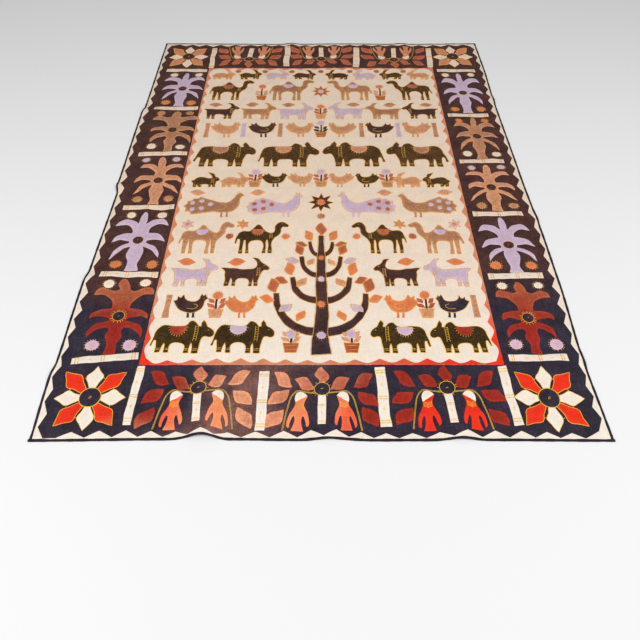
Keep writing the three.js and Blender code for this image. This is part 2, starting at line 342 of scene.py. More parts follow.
# A wave texture has a crest every 2 pi / 20 / scale.
THREAD_SCALE = 2 * math.pi / 20 / (THREAD_PITCH * MM)
AT_SEAM = (-SEAM_V - 2, -SEAM_V + 2)


def cotton(name, fresh, faded, far=None, turns=AT_SEAM, hold=0.0, mottle=0.10, slub=0.07,
           grain=0.08, wear=0.06, weave=0.35):
    """Plain-weave cotton. From the first place to the second in turns, the faded colour of
    the near border gives way to the one that the cloth has further on; hold is how much
    longer the dye stays fresh; mottle, slub and grain are shares by which its value varies,
    in clouds, along the yarns and in specks; and wear is how much a piece's tone, or its
    rubbed rim, lightens it."""
    finish = Finish(name)
    worn = dye(*faded)
    if far:
        up = finish.node("ShaderNodeSeparateXYZ", finish.place).outputs["Y"]
        worn = finish.mix(finish.span(up, turns[0] * MM, turns[1] * MM, 0.0, 1.0), worn, dye(*far))
    colour = finish.mix(freshness(finish, hold), worn, dye(*fresh)) if fresh else worn
    value = finish.node("ShaderNodeAttribute", attribute_name="tone").outputs["Fac"]
    value = finish.math("MULTIPLY_ADD", value, wear, 1.0)
    for share, *noise in ((mottle, CLOUD, 4.0), (grain, SPECK, 2.0), (slub, SLUB, 3.0, WEFT),
                          (slub, SLUB, 3.0, WARP)):
        value = finish.math("MULTIPLY", value, finish.clouds(1 - share, 1 + share, *noise))
    tinted = finish.node("ShaderNodeHueSaturation", 0.5, 1.0, value, 1.0, colour)
    finish.surface("Base Color", tinted.outputs[0])
    threads = [finish.node("ShaderNodeTexWave", finish.place, THREAD_SCALE, bands_direction=way)
               for way in "XY"]
    height = finish.math("MAXIMUM", *(wave.outputs["Fac"] for wave in threads))
    bump = finish.node("ShaderNodeBump", weave, THREAD_DEPTH * MM)
    finish.feed(bump.inputs["Height"], height)
    finish.surface("Normal", bump.outputs[0])
    return finish.material


# %% [markdown]
# The dyes are given as they look on the cloth: the fresh shade, the faded one of the near
# border, and the one further on. Cream cotton only yellows, little by little, up the cloth.

# %% The dyes
UP_THE_CLOTH = (-950, -150)
FINISHES = {
    "cream": cotton("cream_cotton", None, (247, 233, 217), (239, 216, 193), UP_THE_CLOTH, mottle=0.035,
                    slub=0.045, grain=0.03, wear=0.015),
    "dark": cotton("navy_cotton", (50, 43, 56), (128, 88, 80), (76, 47, 42), hold=0.14,
                   mottle=0.32, slub=0.20, grain=0.26),
    "red": cotton("turkey_red_cotton", (238, 52, 27), (248, 150, 102), (214, 136, 100), hold=-0.1,
                  mottle=0.07, slub=0.08, wear=0.03),
    "tape": cotton("dark_tape", None, (46, 38, 46), (40, 34, 40), mottle=0.2),
    "brick": cotton("brick_cotton", (158, 43, 30), (230, 154, 116), (182, 98, 66),
                    mottle=0.12, slub=0.14, grain=0.14),
    "tan": cotton("tan_cotton", None, (207, 145, 107), mottle=0.08, slub=0.11, grain=0.20),
    "lilac": cotton("lilac_cotton", (216, 178, 198), (210, 180, 204), (204, 179, 198),
                    mottle=0.06, slub=0.07, wear=0.03),
    "orange": cotton("orange_cotton", (220, 114, 58), (226, 130, 76), (224, 128, 78),
                     mottle=0.08, slub=0.10, grain=0.12, wear=0.03),
    "olive": cotton("olive_cotton", None, (62, 45, 19), (86, 58, 27), (-834, 300),
                    mottle=0.22, slub=0.2, grain=0.5),
    "thread": cotton("yellow_thread", (250, 200, 66), (246, 196, 92), (236, 178, 78),
                     mottle=0.12, weave=0.1),
}
print("finishes:", ", ".join(FINISHES))

# %% [markdown]
# Each piece is a mesh put together from whole arrays of points and triangles. Hundreds of
# patches share a dye, so a heap gathers them and makes one mesh of each kind, and every
# patch keeps a tone of its own, because no two scraps are quite one colour.

# %% Meshes from arrays
def make_piece(name, slot, points, triangles, tone):
    """Puts points in metres and triangles into a new mesh, smooth, with its tone."""
    mesh = bpy.data.meshes.new(name)
    mesh.vertices.add(len(points))
    mesh.vertices.foreach_set("co", points.astype(np.float32).ravel())
    mesh.loops.add(triangles.size)
    mesh.loops.foreach_set("vertex_index", triangles.astype(np.int32).ravel())
    mesh.polygons.add(len(triangles))
    mesh.polygons.foreach_set("loop_start", np.arange(0, triangles.size, 3, dtype=np.int32))
    mesh.update(calc_edges=True)
    mesh.shade_smooth()
    mesh.attributes.new("tone", "FLOAT", "POINT").data.foreach_set("value", tone.astype(np.float32))
    mesh.materials.append(FINISHES[slot])
    piece = bpy.data.objects.new(name, mesh)
    bpy.context.scene.collection.objects.link(piece)
    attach(piece, "root")
    return piece


class Heap:
    """Patches or threads of one kind and dye, gathered to become one mesh."""

    def __init__(self, slot):
        self.slot, self.size = slot, 0
        self.points, self.triangles, self.tones = [], [], []

    def add(self, points, triangles, tone=0.0):
        """Puts one more thing on the heap, lighter or darker by chance than the last."""
        self.points.append(points)
        self.triangles.append(triangles + self.size)
        self.tones.append(rng.uniform(-1, 1) + tone + np.zeros(len(points)))
        self.size += len(points)

    def make(self, name):
        """Turns the heap into one mesh."""
        parts = (np.concatenate(part) for part in (self.points, self.triangles, self.tones))
        return make_piece(name, self.slot, *parts)


heaps = {}


def heap(kind, slot):
    """The heap of a kind and dye, begun when it is first asked for."""
    return heaps.setdefault(f"{kind}_{slot}", Heap(slot))


def tell(*kinds):
    """Prints how many things of some kinds are on their heaps by now."""
    for kind in kinds:
        print(kind, sum(len(pile.tones) for name, pile in heaps.items() if name.startswith(kind)))


print("heaps begun so far:", len(heaps))

# %% [markdown]
# The ground cloth is five sheets: the cream field and four dark strips, with the end strips
# across the whole width. Each is a grid of stations, closer beside its rim where the seam
# draws it down, with a face that has the relief and an underside that only follows the
# ripples. Solidify could give the thickness, but then the rim would float over the floor
# wherever the face is puckered.

# %% Ground sheets
def stations(low, high, pitch):
    """Places along one side of a sheet: even ones, with a few close together at the rim."""
    rim = np.array([0.0, 1.2, 3.2, 7.0])
    even = np.linspace(low + rim[-1], high - rim[-1], math.ceil((high - low) / pitch))
    return np.concatenate([low + rim[:-1], even, high - rim[-2::-1]])


def thickened(face, rim, below):
    """Triangles of a closed sheet: its face, the same ones turned over for its underside,
    whose points come so many places after the face's, and a wall along the rim."""
    after = np.roll(rim, -1)
    wall = np.vstack([np.column_stack([rim, rim + below, after + below]),
                      np.column_stack([rim, after + below, after])])
    return np.vstack([face, face[:, ::-1] + below, wall])


def ground(name, slot, low, high, pitch):
    """A closed sheet over a grid: face, underside, and a wall round the rim."""
    u, v = np.meshgrid(stations(low[0], high[0], pitch), stations(low[1], high[1], pitch))
    rows, columns = u.shape
    index = np.arange(rows * columns).reshape(rows, columns)
    u, v = u.ravel(), v.ravel()
    x, y = lay(u, v)
    under = np.column_stack([x, y, lift(x, y)]) * MM
    corners = (index[:-1, :-1], index[:-1, 1:], index[1:, 1:], index[1:, :-1])
    a, b, c, d = (corner.ravel() for corner in corners)
    face = np.vstack([np.column_stack([a, b, c]), np.column_stack([a, c, d])])
    rim = np.concatenate([index[0, :-1], index[:-1, -1], index[-1, :0:-1], index[:0:-1, 0]])
    triangles = thickened(face, rim, len(u))
    points = np.vstack([settle(u, v, 0.0), under])
    print(name, len(triangles), "triangles")
    return make_piece(name, slot, points, triangles, np.zeros(len(points)))


SHEETS = {
    "field": ("cream", (-SEAM_U, -SEAM_V), (SEAM_U, SEAM_V), 9.0),
    "border_near": ("dark", (-HALF_W + BINDING, -HALF_L + BINDING), (HALF_W - BINDING, -SEAM_V), 6.5),
    "border_far": ("dark", (-HALF_W + BINDING, SEAM_V), (HALF_W - BINDING, HALF_L - BINDING), 8.0),
    "border_left": ("dark", (-HALF_W + BINDING, -SEAM_V), (-SEAM_U, SEAM_V), 7.0),
    "border_right": ("dark", (SEAM_U, -SEAM_V), (HALF_W - BINDING, SEAM_V), 7.0),
}
for node, (slot, low, high, pitch) in SHEETS.items():
    ground(f"{node}_cloth", slot, low, high, pitch)
    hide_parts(node)

# %% [markdown]
# Applique starts as an outline, drawn with chalk and cut by hand. Few points are needed for
# one, if the line through them is smooth and only the marked ones are corners. A Bezier
# curve object would give the same line, but as arrays it can be turned, mirrored and cut a
# little unevenly for every copy.

# %% Outlines
C = "corner"


def curve(points, step=5.0, closed=True):
    """A smooth line through points: a cubic between each two, which leaves and arrives along
    the mean direction at a smooth point and along the chord at a corner."""
    spots = np.array([p[:2] for p in points], float)
    corner = np.array([len(p) > 2 for p in points])
    if not closed:
        corner[[0, -1]] = True
    ahead = np.roll(spots, -1, 0) - spots
    length = np.maximum(np.linalg.norm(ahead, axis=1), 1e-6)
    unit = ahead / length[:, None]
    before = np.roll(unit, 1, 0)
    mean = unit + before
    mean = mean / np.maximum(np.linalg.norm(mean, axis=1), 1e-6)[:, None]
    leave, arrive = np.where(corner[:, None], unit, mean), np.where(corner[:, None], before, mean)
    count = np.maximum(np.rint(length / step), 1).astype(int)
    if not closed:
        count[-1] = 0
    stretch = np.repeat(np.arange(len(spots)), count)
    begun = np.repeat(np.cumsum(count) - count, count)
    t = ((np.arange(count.sum()) - begun) / count[stretch])[:, None]
    after = (stretch + 1) % len(spots)
    size = length[stretch, None]
    line = ((2 * t**3 - 3 * t**2 + 1) * spots[stretch] + (t**3 - 2 * t**2 + t) * leave[stretch] * size
            + (3 * t**2 - 2 * t**3) * spots[after] + (t**3 - t**2) * arrive[after] * size)
    return line if closed else np.vstack([line, spots[-1:]])



def mirrored(half):
    """A whole outline from its right half: the left half is its mirror image, in reverse."""
    return list(half) + [(-p[0], *p[1:]) for p in reversed(half) if p[0] != 0]


def moved(points, at, turn=0.0, size=1.0, flip=False):
    """Points turned by degrees, scaled, mirrored if asked, and shifted; corners stay marked."""
    cos, sin = math.cos(math.radians(turn)) * size, math.sin(math.radians(turn)) * size
    side = -1 if flip else 1
    return [(at[0] + p[0] * side * cos - p[1] * sin, at[1] + p[0] * side * sin + p[1] * cos, *p[2:])
            for p in points]


diamond = curve([(1, 0), (0, 1), (-1, 0), (0, -1)], 0.1)
print("a ring through four points strays", round(float(np.ptp(np.linalg.norm(diamond, axis=1))), 3))

# %% [markdown]
# Scissors wander. Noise would do for that, but it would not close on itself, so a slow and
# a quick wave run round every outline in a whole number of turns, each from a place of
# its own. The direction square to a line is needed here and for every thread.

# %% Cut by hand
def outward(line, closed=True):
    """The unit direction across a line at each point, to the right of its way."""
    if closed:
        way = np.roll(line, -1, 0) - np.roll(line, 1, 0)
    else:
        way = np.gradient(line, axis=0)
    across = np.column_stack([way[:, 1], -way[:, 0]])
    return across / np.maximum(np.linalg.norm(across, axis=1), 1e-9)[:, None]


def hand_cut(outline, uneven):
    """Moves a closed outline in and out by two waves that close on themselves, as scissors
    wander, and makes it run anticlockwise."""
    x, y = outline.T
    if (x * np.roll(y, -1) - np.roll(x, -1) * y).sum() < 0:
        outline = outline[::-1]
    step = np.linalg.norm(np.roll(outline, -1, 0) - outline, axis=1)
    way = 2 * math.pi * np.cumsum(step) / step.sum()
    slow, quick = max(2, round(step.sum() / 120)), max(5, round(step.sum() / 43))
    wander = 0.6 * np.sin(slow * way + rng.uniform(0, 6))
    wander = wander + 0.4 * np.sin(quick * way + rng.uniform(0, 6))
    return outline + outward(outline) * (uneven * wander)[:, None]


# %% [markdown]
# The area in an outline is filled with triangles by Blender's Delaunay routine, through
# points on a honeycomb, so that the patch can bend over every wrinkle of the cloth below. A
# single many-sided face would be simpler, but it would lie across the wrinkles like a card.

# %% Filling an outline
def distance_to(points, outline):
    """How far each point is from the nearest stretch of a closed outline."""
    ahead = np.roll(outline, -1, 0) - outline
    offset = points[:, None] - outline[None]
    share = np.clip((offset * ahead).sum(2) / np.maximum((ahead**2).sum(1), 1e-12), 0, 1)
    return np.linalg.norm(offset - share[..., None] * ahead, axis=2).min(1)


def inside(points, outline):
    """True for points within a closed outline: a level line from there to the right crosses
    it an odd number of times."""
    x, y = points[:, :1], points[:, 1:]
    x0, y0 = outline.T
    x1, y1 = np.roll(outline, -1, 0).T
    crosses = (y0 > y) != (y1 > y)
    rise = np.where(y1 == y0, 1.0, y1 - y0)
    return (crosses & (x < x0 + (y - y0) * (x1 - x0) / rise)).sum(1) % 2 == 1


def honeycomb(outline, pitch, clear):
    """Points of an even honeycomb that lie within an outline, clear of its rim."""
    low, high = outline.min(0) - pitch, outline.max(0) + pitch
    u, v = np.meshgrid(np.arange(low[0], high[0], pitch), np.arange(low[1], high[1], pitch * 0.866))
    u = u + (np.arange(len(u)) % 2)[:, None] * pitch / 2
    points = np.column_stack([u.ravel(), v.ravel()])
    points = points[inside(points, outline)]
    return points[distance_to(points, outline) > clear] if len(points) else points


def fill(outline, inner):
    """Triangles that fill an outline through the points in it, all anticlockwise. Gives the
    points, the triangles and the places of the outline's own points among them."""
    every = np.vstack([outline, inner])
    found = geometry.delaunay_2d_cdt(every.tolist(), [], [list(range(len(outline)))], 1, 1e-5)
    spots, triangles = np.array([tuple(p) for p in found[0]]), np.array(found[2])
    a, b, c = (spots[triangles[:, i]] for i in range(3))
    turned = np.cross(b - a, c - a) < 0
    triangles[turned] = triangles[turned][:, ::-1]
    place = {given: made for made, origin in enumerate(found[3]) for given in origin}
    return spots, triangles, np.array([place[i] for i in range(len(outline))])


square = np.array([(0, 0), (60, 0), (60, 60), (0, 60)], float)
print("triangles in a square of 60 mm:", len(fill(square, honeycomb(square, 10.0, 4.0))[1]))

# %% [markdown]
# A patch is cut, its edge is turned under and it is sewn down all round. So it stands up
# from the ground by its folded rim, is a little fuller inside, and drops where it is
# stitched. Its rim is rubbed more than the rest, and so it has worn lighter.

# %% The patch
# How far in the folded rim is round and the hem ends, how deep a patch sits in the ground,
# its dip inside the hem, its fullness past it and its creases, all in mm.
RIM, HEM, DEPTH = 1.3, 5.0, 0.3
DIP, FULLNESS, CREASE = 0.12, 0.3, 0.16
# How much lighter a folded rim has worn, in tones.
HEM_WEAR = 4.5
# Two more lots of tan cotton are browner: the dye they belong to, and their tones.
LOTS = {"umber": ("tan", -3.3), "fawn": ("tan", -5.0)}


def swell(away, u, v):
    """Height of a patch's face: it rises over the folded rim, sinks a little inside the hem,
    fills out towards the middle, and is creased by sines that bend each other."""
    height = PATCH * (0.4 + 0.6 * ease(away / RIM)) - DIP * ease(away / HEM)
    height = height + FULLNESS * ease((away - HEM) / 16)
    creases = np.sin(u / 9.1 + 2 * np.sin(v / 23)) * np.sin(v / 7.3 + np.sin(u / 31))
    return height + CREASE * ease(away / HEM) * creases


def sew(kind, slot, points, on=0.0, uneven=0.9, step=5.0, pitch=10.0, tone=0.0):
    """Cuts a patch and sews it on at a height over the ground. Gives its cut outline."""
    slot, lot_tone = LOTS.get(slot, (slot, 0.0))
    outline = hand_cut(curve(points, step), uneven)
    fold = outline - outward(outline) * RIM
    fold = fold[inside(fold, outline)]
    fold = fold[distance_to(fold, outline) > RIM * 0.75] if len(fold) else fold
    spots, face, rim = fill(outline, np.vstack([fold, honeycomb(outline, pitch, RIM + pitch * 0.35)]))
    away = distance_to(spots, outline)
    u, v = spots.T
    top = settle(u, v, on + swell(away, u, v))
    bottom = settle(u, v, np.full(len(u), on - DEPTH))
    worn = HEM_WEAR * (1 - ease((away - 1.0) / 3.2)) - 0.6
    heap(kind, slot).add(np.vstack([top, bottom]), thickened(face, rim, len(u)),
                         tone + lot_tone + np.tile(worn, 2))
    return outline


heights = [round(float(swell(away, 0.0, 0.0)), 2) for away in (0.0, RIM, HEM, 40.0)]
print("height of a patch at its edge, past its fold, at its hem and in its middle:", heights, "mm")

# %% [markdown]
# The sawtooth strips are torn from one cloth each, folded in at even places and snipped
# between, so the teeth come out nearly alike and never quite. Their base is the model's, at
# the rim, and the teeth point in. The snips of the outer strip end in a point, and those of
# the inner one are rounded. Four lengths meet in a mitre at each corner.

# %% Sawtooth strips
GAP = 0.3
TOOTH_UNEVEN = 0.16
# How far in the valleys and the peaks lie, in the end strips and in the side strips, how far
# apart the teeth are, and the marks that make a valley a corner. Each corner: how far in it
# lies from the side and from the end, for the near left one and on round to the far left.
OUTER_TEETH = {"valley": (4.5, 6.5), "peak": (21.0, 22.0), "pitch": 72.0, "marks": (C,),
               "corners": [(30, 4), (28, 24), (27, 22), (26, 19)]}
INNER_TEETH = {"valley": (6.0, 5.0), "peak": (19.0, 18.0), "pitch": 70.5, "marks": (),
               "corners": [(16, 24), (20, 12), (18, 20), (20, 14)]}


def sawtooth(length, teeth, seed, start, end):
    """Points of one strip, along its way and in from the rim: the base, then peaks and
    valleys by turns between its two corners, shifted a little by a sine of their number."""
    half = length / 2 - GAP * math.sqrt(0.5)
    first, last = start[0] - half, half - end[0]
    count = 2 * round((last - first) / teeth["pitch"])
    points = [(-half, 0, C), (half, 0, C), (last, end[1], C)]
    for i in range(count - 1, 0, -1):
        wander = TOOTH_UNEVEN * math.sin(i * 12.9898 + seed * 78.233)
        into, marks = (teeth["valley"], teeth["marks"]) if i % 2 else (teeth["peak"], (C,))
        into = into[seed % 2]
        along = first + (i + wander) * (last - first) / count
        points.append((along, into * (1 + 1.2 * wander), *marks))
    return points + [(first, start[1], C)]


SIDES = ("near", "right", "far", "left")


def frame_of_teeth(kind, slot, half_u, half_v, teeth, first_seed):
    """Four strips round a rectangle, each turned to its side."""
    for number, side in enumerate(SIDES):
        half, off = (half_v, half_u) if number % 2 else (half_u, half_v)
        ends = [teeth["corners"][number], teeth["corners"][(number + 1) % 4]]
        start, end = [corner[::-1] for corner in ends] if number % 2 else ends
        line = sawtooth(2 * half, teeth, first_seed + number, start, end)
        strip = [(a, into - off, *rest) for a, into, *rest in line]
        sew(f"{kind}_{side}", slot, moved(strip, (0, 0), 90 * number), uneven=0.3, step=6.0, pitch=9.0)


frame_of_teeth("teeth_outer", "cream", HALF_W - BINDING - GAP / 2, HALF_L - BINDING - GAP / 2,
               OUTER_TEETH, 2)
frame_of_teeth("teeth_inner", "red", SEAM_U - GAP / 2, SEAM_V - GAP / 2, INNER_TEETH, 6)
tell("teeth_outer", "teeth_inner")

# %% [markdown]
# The edge of the cloth is bound with a narrow tape folded over the rim. A round profile is
# carried along each side, a little fuller and slacker between the stitches that hold it.
# The ends of the near tape stick out a little past the corners.

# %% Tubes and bindings
def skin(sections, sides, closed):
    """Triangles between rings of points that follow each other, with both ends capped
    unless the last ring joins the first."""
    index = np.arange(sections * sides).reshape(sections, sides)
    here, ahead = (index, np.roll(index, -1, 0)) if closed else (index[:-1], index[1:])
    a, b = here.ravel(), np.roll(here, -1, 1).ravel()
    c, d = np.roll(ahead, -1, 1).ravel(), ahead.ravel()
    faces = [np.column_stack([a, b, c]), np.column_stack([a, c, d])]
    if not closed:
        fan = np.arange(1, sides - 1)
        start, end = index[0], index[-1]
        faces.append(np.column_stack([np.full(sides - 2, start[0]), start[fan + 1], start[fan]]))
        faces.append(np.column_stack([np.full(sides - 2, end[0]), end[fan], end[fan + 1]]))
    return np.vstack(faces)


TAPE_PROFILE = np.array([(-1, -0.42), (-1, 0.35), (-0.72, 0.85), (0, 1.0),
                         (0.72, 0.85), (1, 0.35), (1, -0.42)])
# The tape's half width, half its height and how far it is off the floor; a ring each so many
# mm; and how far the near tape's ends stick out.
TAPE_HALF, TAPE_RISE, TAPE_LOW = 4.0, 1.5, 0.15
TAPE_STEP = 6.0
TAIL = 2.0


def bind(name, start, end):
    """The tape from start to end: the profile at every station, fuller by a slow and a quick
    wave, standing on the floor or on the underside of the lifted cloth."""
    length = math.dist(start, end)
    share = np.linspace(0, 1, math.ceil(length / TAPE_STEP) + 1)
    line = np.array(start) + share[:, None] * (np.array(end) - np.array(start))
    way = share * length
    full = 1 + 0.06 * np.sin(way / 17) + 0.05 * np.sin(way / 6.1 + 2 * np.sin(way / 90))
    size = TAPE_PROFILE[None, :, :1] * full[:, None, None] * TAPE_HALF
    flat = line[:, None] + outward(line, closed=False)[:, None] * size
    x, y = lay(flat[..., 0].ravel(), flat[..., 1].ravel())
    foot = TAPE_PROFILE[0, 1]
    height = 2 * TAPE_RISE * full[:, None] + relief(*line.T)[:, None]
    rise = (TAPE_PROFILE[:, 1] - foot) / (1 - foot) * height
    points = np.column_stack([x, y, lift(x, y) + TAPE_LOW + rise.ravel()]) * MM
    heap(name, "tape").add(points, skin(len(line), len(TAPE_PROFILE), closed=False)[:, ::-1])


tape_u, tape_v = HALF_W - TAPE_HALF, HALF_L - TAPE_HALF
bind("binding_near", (-HALF_W - TAIL, -tape_v), (HALF_W + TAIL, -tape_v))
bind("binding_far", (HALF_W, tape_v), (-HALF_W, tape_v))
bind("binding_right", (tape_u, -HALF_L + BINDING), (tape_u, HALF_L - BINDING))
bind("binding_left", (-tape_u, HALF_L - BINDING), (-tape_u, -HALF_L + BINDING))
tell("binding")

# %% [markdown]
# Thick yellow cotton is laid on the line and tied down every few millimetres: it is couched.
# A low tube with four sides follows the line here, pinched where it is tied, because there
# are some sixty metres of it. Short single stitches make the rays and the dots, and they
# are all worked out at once, as one array of starts and one of ends.

# %% Couched thread and stitches
# The profile of a thread, in half widths, and how deep it is pressed into the cotton, in mm.
THREAD_PROFILE = np.array([(-1, -0.35), (1, -0.35), (0.72, 0.75), (-0.72, 0.75)])
PRESSED = 0.25
PINCH = 0.13
# Each ring of a stitch: its share of the way, how full it is, and how high its foot is, in mm.
STITCH = np.array([(0.0, 0.5, -PRESSED), (0.5, 1.0, 0.15), (1.0, 0.5, -PRESSED)])


def rings(line, across, half, on, foot):
    """A ring of the profile at each point of a line, as wide as two halves across the way,
    with its foot at a height over what lies on the ground."""
    flat = line[:, None] + across[:, None] * (THREAD_PROFILE[None, :, :1] * half[:, None, None])
    height = on + (THREAD_PROFILE[:, 1] - THREAD_PROFILE[0, 1]) * half[:, None] + foot
    return settle(flat[..., 0].ravel(), flat[..., 1].ravel(), height.ravel())


def couch(kind, line, on=0.0, width=2.0, closed=False):
    """Lays a thread along a line of even places, pinched at each second one."""
    across = outward(line, closed)
    if closed and len(line) % 2:
        line, across = line[:-1], across[:-1]
    pinch = 1 + PINCH * (-1.0) ** np.arange(len(line))
    points = rings(line, across, pinch * width / 2, on, -PRESSED)
    heap(kind, "thread").add(points, skin(len(line), 4, closed))


def stitch(kind, starts, ends, on=0.0, width=1.6):
    """Single stitches: three rings each, thin where the thread dives, full in the middle."""
    starts, ends = np.atleast_2d(starts).astype(float), np.atleast_2d(ends).astype(float)
    way, count = ends - starts, len(starts)
    across = np.column_stack([way[:, 1], -way[:, 0]]) / np.linalg.norm(way, axis=1)[:, None]
    share, full, foot = np.tile(STITCH, (count, 1)).T
    starts, way, across = (np.repeat(part, 3, axis=0) for part in (starts, way, across))
    points = rings(starts + way * share[:, None], across, full * width / 2, on, foot[:, None])
    triangles = skin(3, 4, closed=False) + 12 * np.arange(count)[:, None, None]
    heap(kind, "thread").add(points, triangles.reshape(-1, 3))


def rays(kind, centre, inner, outer, count, on=0.0, squeeze=1.0):
    """Short stitches that stand round a centre like rays, from inner to outer radius."""
    turn = (np.arange(count) + 0.25 * rng.uniform(-1, 1, count)) * 2 * math.pi / count
    way = np.column_stack([np.cos(turn), np.sin(turn) * squeeze])
    far = outer + 0.12 * (outer - inner) * rng.uniform(-1, 1, (count, 1))
    stitch(kind, np.array(centre) + way * inner, np.array(centre) + way * far, on)


def ring(radius, squeeze=1.0, uneven=0.04):
    """Points of a circle or, squeezed, of an oval, a little out of true."""
    angles = np.arange(8) * math.pi / 4 + rng.uniform(-0.08, 0.08, 8)
    reach = radius * (1 + uneven * rng.uniform(-1, 1, 8))
    return [(r * math.cos(a), r * math.sin(a) * squeeze) for r, a in zip(reach, angles)]


def ringed(at, radius, thread, on=0.0, squeeze=1.0, uneven=0.04, cut=(0.5, 0.3), step=4.0,
           gap=0.6, turn=0):
    """A dark disc with a ring of thread laid a gap outside it, places of it a step apart;
    cut is how far the disc and the ring wander."""
    sew("discs", "dark", moved(ring(radius, squeeze, uneven), at, turn), on=on, step=4.0, uneven=cut[0])
    line = curve(moved(ring(radius + gap, squeeze, uneven / 2), at, turn), step)
    couch("couching_borders", hand_cut(line, cut[1]), on + 0.1, thread, closed=True)


proud = float(np.ptp(THREAD_PROFILE[:, 1])) - PRESSED
print("a thread 2 mm wide stands", round(proud, 2), "mm proud")

# %% [markdown]
# Cream bars part the panels, like the poles of a tent. Each is a strip with a few slight
# bends, with pairs of yellow stitches across it near its ends and its middle, and a small
# zigzag between. They were set by eye, so their places are a table and not a sum.

# %% Bars
# The bars of the left and the right border, from the near end, and how much each slants.
SIDE_BARS = {-1: [(-812, 20), (-482, -3), (-153, 5), (168, 4), (493, 3), (812, 0)],
             1: [(-811, -2), (-489, -5), (-187, -2), (120, 1), (441, 1), (810, 3)]}
SIDE_BAR_REACH = {-1: (555.0, 753.0), 1: (567.0, 750.0)}
SIDE_BAR_WIDTH = 24.0
# The bars of an end border: u at the seam and at the rim, how far it slipped to the rim, width.
END_BARS = [(-540, -543, 0, 24), (-170, -171, 17, 29), (174, 181, 4, 31), (539, 551, 0, 27)]
END_BAR_REACH = (838.0, 1028.0)
# Shares of a bar's length: where it bends, and where its stitches and its zigzags lie.
BENDS_AT = np.array([0.0, 0.28, 0.55, 0.8, 1.0])
RUNGS_AT, ZIGZAGS_AT = (0.055, 0.095, 0.51, 0.55, 0.90, 0.94), (0.30, 0.72)
# How far a bar strays at its bends, and how much half its width does, in mm.
BEND_STRAY, WIDTH_STRAY = 2.3, 0.9


def bar(start, end, width, tone=0.0):
    """A strip from start to end with three bends by chance, and its stitches across."""
    start, end = np.array(start, float), np.array(end, float)
    way = (end - start) / np.linalg.norm(end - start)
    side = np.array([way[1], -way[0]])
    stray = side * rng.uniform(-BEND_STRAY, BEND_STRAY, (5, 1))
    middle = start + BENDS_AT[:, None] * (end - start) + stray
    halves = width / 2 + rng.uniform(-WIDTH_STRAY, WIDTH_STRAY, (5, 1))
    right, left = middle + side * halves, middle - side * halves
    marks = [(C,), (), (), (), (C,)]
    sew("bars", "cream", [(*p, *m) for p, m in zip([*right, *left[::-1]], marks * 2)], tone=tone)
    half = side * (width / 2 + 0.5)
    for share in RUNGS_AT:
        at = start + (share + rng.uniform(-0.006, 0.006)) * (end - start)
        starts = np.array([at - half, at + side * 0.5])
        stitch("stitches_borders", starts, np.array([at - side * 0.5, at + half]), 0.75, 2.7)
    for share in ZIGZAGS_AT:
        at = start + (share + rng.uniform(-0.02, 0.02)) * (end - start)
        zigzag = np.array([at - way * 5 - side * 2, at + side * 2.5, at + way * 5 - side * 2])
        stitch("stitches_borders", zigzag[:-1], zigzag[1:], 0.75, 1.9)


for side, bars_at in SIDE_BARS.items():
    inner, outer = SIDE_BAR_REACH[side]
    for v, slant in bars_at:
        bar((side * inner, v + slant / 2), (side * outer, v - slant / 2), SIDE_BAR_WIDTH, tone=-2.4)
for end in (-1, 1):
    for seam_u, rim_u, slip, width in END_BARS:
        bar((seam_u, end * (END_BAR_REACH[0] + slip)), (rim_u, end * (END_BAR_REACH[1] + slip)), width)
tell("bars")

# %% [markdown]
# Ten palms stand in the side borders, one to a panel, each cut from one piece: a sprout on
# top, three pairs of fronds and a trunk. Three patterns were used, with broad fronds, with
# thin ones, and with fronds that arch and end in points. Half of each is enough, and its
# mirror image makes the whole. The distances are from the dark disc in its middle, and each
# palm is stretched to stand on one bar and to end just below the next.

# %% Palm patterns
BROAD_PALM = [(18, -146, C), (16, -112), (26, -80), (19, -55), (27, -43, C), (50, -50), (70, -66),
              (84, -88, C), (85, -60), (73, -39), (50, -25), (26, -18, C), (28, -11, C), (50, -3),
              (72, 0), (92, -9, C), (87, 12), (70, 23), (50, 28), (27, 30, C), (29, 48), (42, 68),
              (66, 82), (98, 84, C), (92, 104), (74, 113), (54, 107), (34, 100), (17, 106, C),
              (19, 122), (14, 138), (0, 149)]
ARCHED_PALM = [(24, -138, C), (18, -106), (28, -64), (22, -28, C), (43, -37), (64, -58),
               (86, -85, C), (80, -54), (62, -27), (30, -11, C), (32, -2, C), (67, 3), (98, -9, C),
               (83, 19), (60, 31), (29, 34, C), (30, 46), (40, 62), (61, 73), (98, 68, C), (88, 87),
               (72, 98), (52, 98), (33, 91), (14, 76, C), (13, 108), (10, 123), (0, 134)]
THIN_PALM = [(21, -136, C), (17, -104), (29, -60), (21, -27, C), (50, -45), (70, -62), (92, -82, C),
             (75, -49), (54, -26), (26, -10, C), (29, -1, C), (66, 4), (91, -14, C), (88, 11),
             (70, 28), (48, 33), (23, 31, C), (22, 50), (34, 68), (58, 79), (90, 76, C), (76, 95),
             (55, 101), (34, 96), (16, 84, C), (15, 112), (12, 132), (0, 143)]


def fitted(pattern, half, up, down, lean):
    """A whole palm, stretched to half a width and to heights over and under its disc, with
    its sprout sheared sideways above the top fronds."""
    spots = np.array([p[:2] for p in pattern])
    wide, high, low = spots[:, 0].max(), spots[:, 1].max(), -spots[:, 1].min()
    fronds = spots[spots[:, 0] > 0.7 * wide, 1].max() - 12
    return [(p[0] * half / wide + lean * max(0.0, (p[1] - fronds) / (high - fronds)),
             p[1] * (up / high if p[1] > 0 else down / low), *p[2:]) for p in mirrored(pattern)]


print("points of a palm's outline:", [len(mirrored(p)) for p in (BROAD_PALM, ARCHED_PALM, THIN_PALM)])

# %% [markdown]
# Each palm has its own dye, leans its own way, and stands with two rosettes above it and
# two below, but for one palm that has none above. A disc is sewn in its middle, and the
# brick palms have rays round it.

